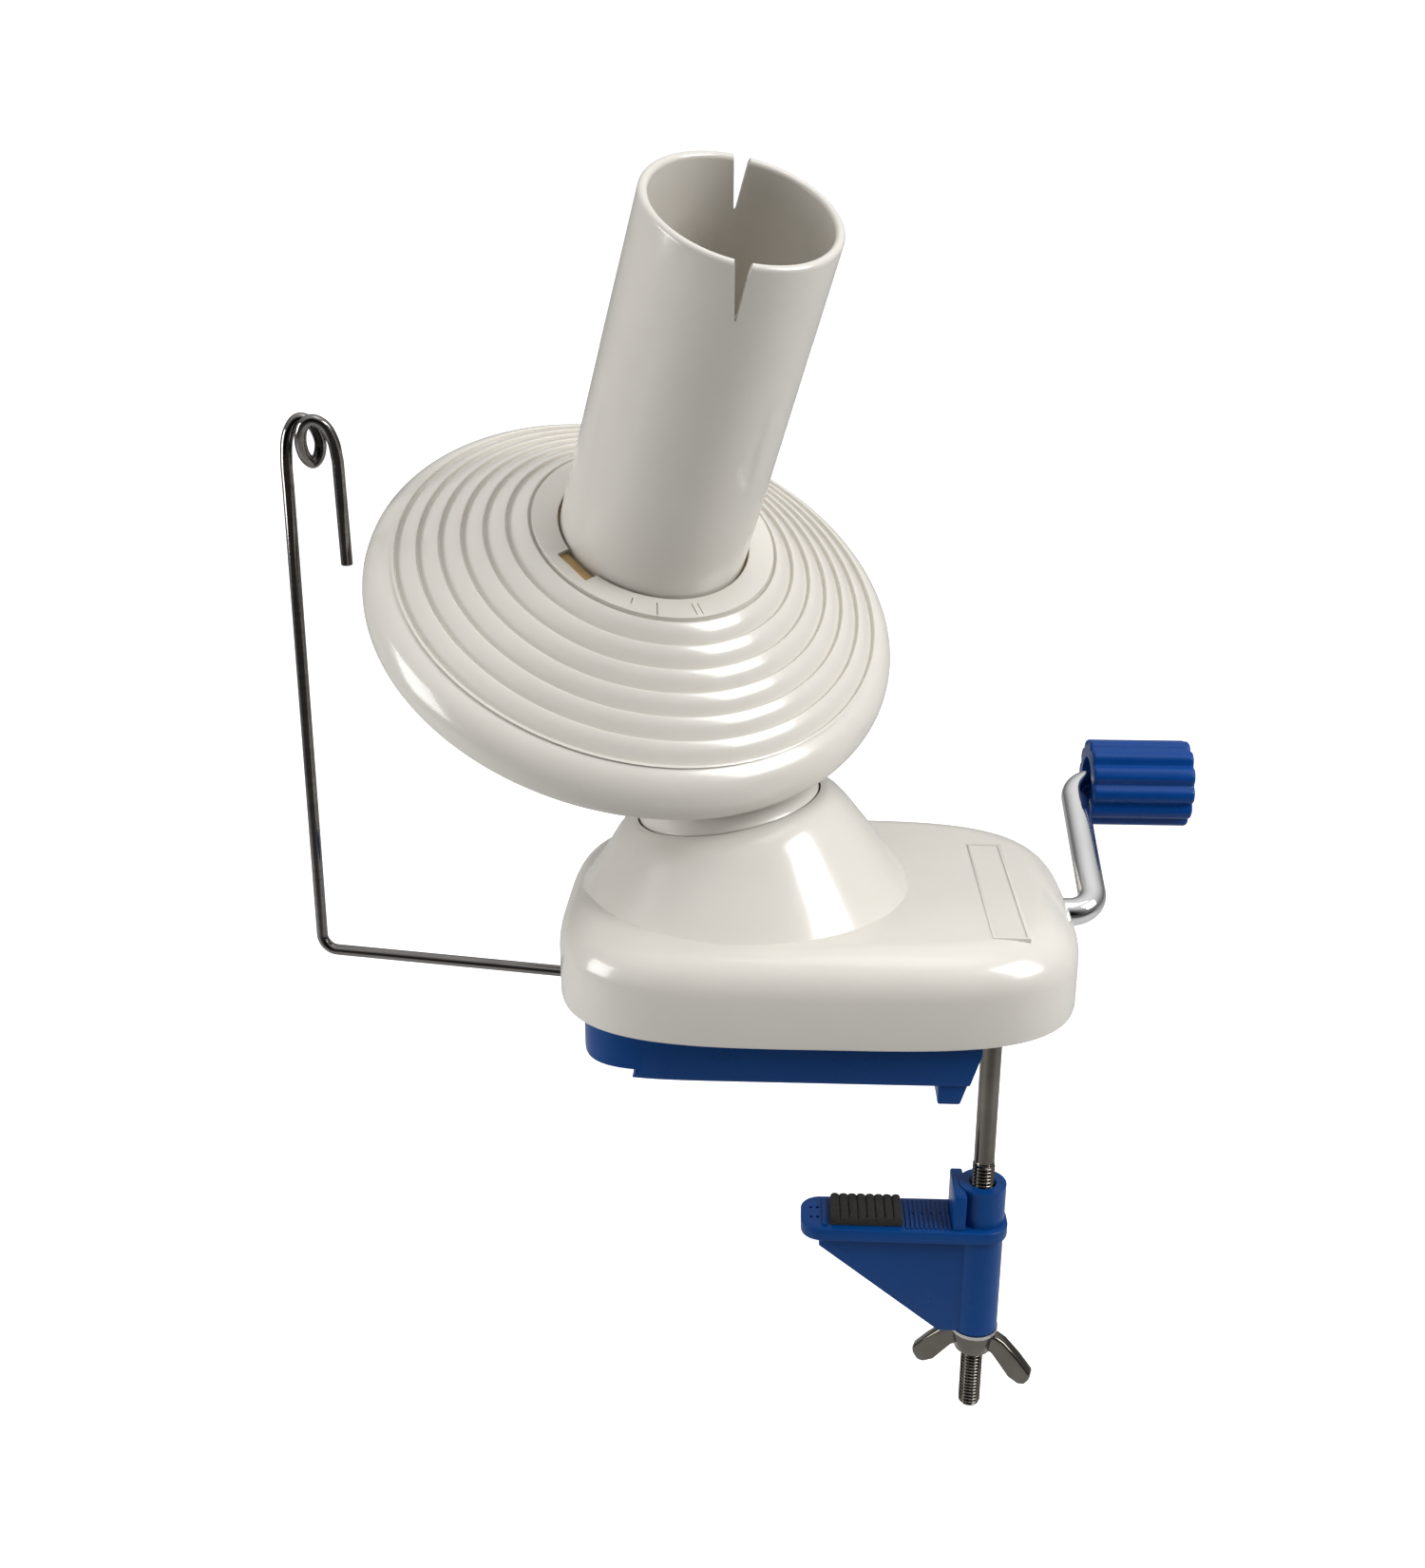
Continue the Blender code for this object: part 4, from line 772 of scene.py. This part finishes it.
# ------------------------------------------------------------------ stage, light, camera
floor_n = Nodes("pale_floor")
f_sep = floor_n.new("ShaderNodeSeparateXYZ")
floor_n.link(floor_n.co.outputs["Object"], f_sep.inputs[0])
floor_n.link(floor_n.ramp(floor_n.value(f_sep.outputs["Y"], 0.0, 1.0, -0.75, -0.25), [(0.0, (0.10, 0.10, 0.10)), (1.0, (0.55, 0.55, 0.55))]), floor_n.p.inputs["Base Color"])
floor_n.p.inputs["Roughness"].default_value = 0.9
floor_n.p.inputs["Specular IOR Level"].default_value = 0.1
floor_n.p.inputs["Emission Color"].default_value = (1, 1, 1, 1)
fl = floor_n.new("ShaderNodeLightPath")
fv = floor_n.new("ShaderNodeMapRange")
for k, v in (("From Min", 0.0), ("From Max", 1.0), ("To Min", 0.0), ("To Max", 1.0)):
    fv.inputs[k].default_value = v
floor_n.link(fl.outputs["Is Camera Ray"], fv.inputs["Value"])
floor_n.link(fv.outputs["Result"], floor_n.p.inputs["Emission Strength"])
bm = bmesh.new()
bmesh.ops.create_grid(bm, x_segments=2, y_segments=2, size=6.0)
floor = bpy.data.objects.new("floor", done(bm, "floor"))
bpy.context.scene.collection.objects.link(floor)
floor.location.z = -0.30
floor.data.materials.append(floor_n.m)

# white backdrop, with a dimmer room around the object for the light and the gloss
world = bpy.data.worlds.new("studio")
bpy.context.scene.world = world
world.use_nodes = True
wt = world.node_tree
bg = wt.nodes["Background"]
bg.inputs["Color"].default_value = (1.0, 1.0, 1.0, 1)
bg.inputs["Strength"].default_value = 1.05
room = wt.nodes.new("ShaderNodeBackground")
room.inputs["Strength"].default_value = 1.0
tc = wt.nodes.new("ShaderNodeTexCoord")
sep = wt.nodes.new("ShaderNodeSeparateXYZ")
wt.links.new(tc.outputs["Generated"], sep.inputs[0])
wr = wt.nodes.new("ShaderNodeValToRGB")
for e, (pos, v) in zip([wr.color_ramp.elements[0], wr.color_ramp.elements[1], wr.color_ramp.elements.new(0.62)], [(0.46, 0.16), (1.0, 0.30), (0.62, 0.24)]):
    e.position, e.color = pos, (v, v, v, 1)
mr = wt.nodes.new("ShaderNodeMapRange")
for k, v in (("From Min", -1.0), ("From Max", 1.0), ("To Min", 0.0), ("To Max", 1.0)):
    mr.inputs[k].default_value = v
wt.links.new(sep.outputs["Z"], mr.inputs["Value"])
wt.links.new(mr.outputs["Result"], wr.inputs["Fac"])
front = wt.nodes.new("ShaderNodeMapRange")
for k, v in (("From Min", -0.92), ("From Max", -0.60), ("To Min", 0.04), ("To Max", 1.0)):
    front.inputs[k].default_value = v
wt.links.new(sep.outputs["Y"], front.inputs["Value"])
wt.links.new(front.outputs["Result"], room.inputs["Strength"])
wt.links.new(wr.outputs["Color"], room.inputs["Color"])
lp = wt.nodes.new("ShaderNodeLightPath")
mx = wt.nodes.new("ShaderNodeMixShader")
wt.links.new(lp.outputs["Is Camera Ray"], mx.inputs[0])
wt.links.new(room.outputs[0], mx.inputs[1])
wt.links.new(bg.outputs[0], mx.inputs[2])
wt.links.new(mx.outputs[0], wt.nodes["World Output"].inputs["Surface"])
bpy.context.scene.view_settings.view_transform = "Standard"


def area(name, loc, target, w, h, power, colour=(1, 1, 1)):
    l = bpy.data.lights.new(name, "AREA")
    l.shape = "RECTANGLE"
    l.size, l.size_y = w, h
    l.energy = power
    l.color = colour
    o = bpy.data.objects.new(name, l)
    bpy.context.scene.collection.objects.link(o)
    o.location = loc
    o.rotation_euler = (Vector(target) - Vector(loc)).to_track_quat("-Z", "Y").to_euler()
    return o


area("left_box", (-0.92, -0.30, 0.20), (0, 0, 0.10), 0.42, 0.5, 5.2)
area("top", (0.20, -0.10, 1.0), (0, 0, 0.05), 0.5, 0.5, 1.2)
area("right_box", (0.74, -0.30, 0.60), (0, 0, 0.08), 0.42, 0.55, 7.2)

cam = bpy.data.cameras.new("cam")
cam.sensor_fit = "HORIZONTAL"
cam.sensor_width = 36.0
cam.lens = 40.8
cam.clip_start = 0.01
cam.clip_end = 50
co = bpy.data.objects.new("cam", cam)
bpy.context.scene.collection.objects.link(co)
co.location = (0.01188, -0.36149, 0.18713)
co.rotation_euler = (math.radians(70.426), 0, math.radians(2.5))
bpy.context.scene.camera = co
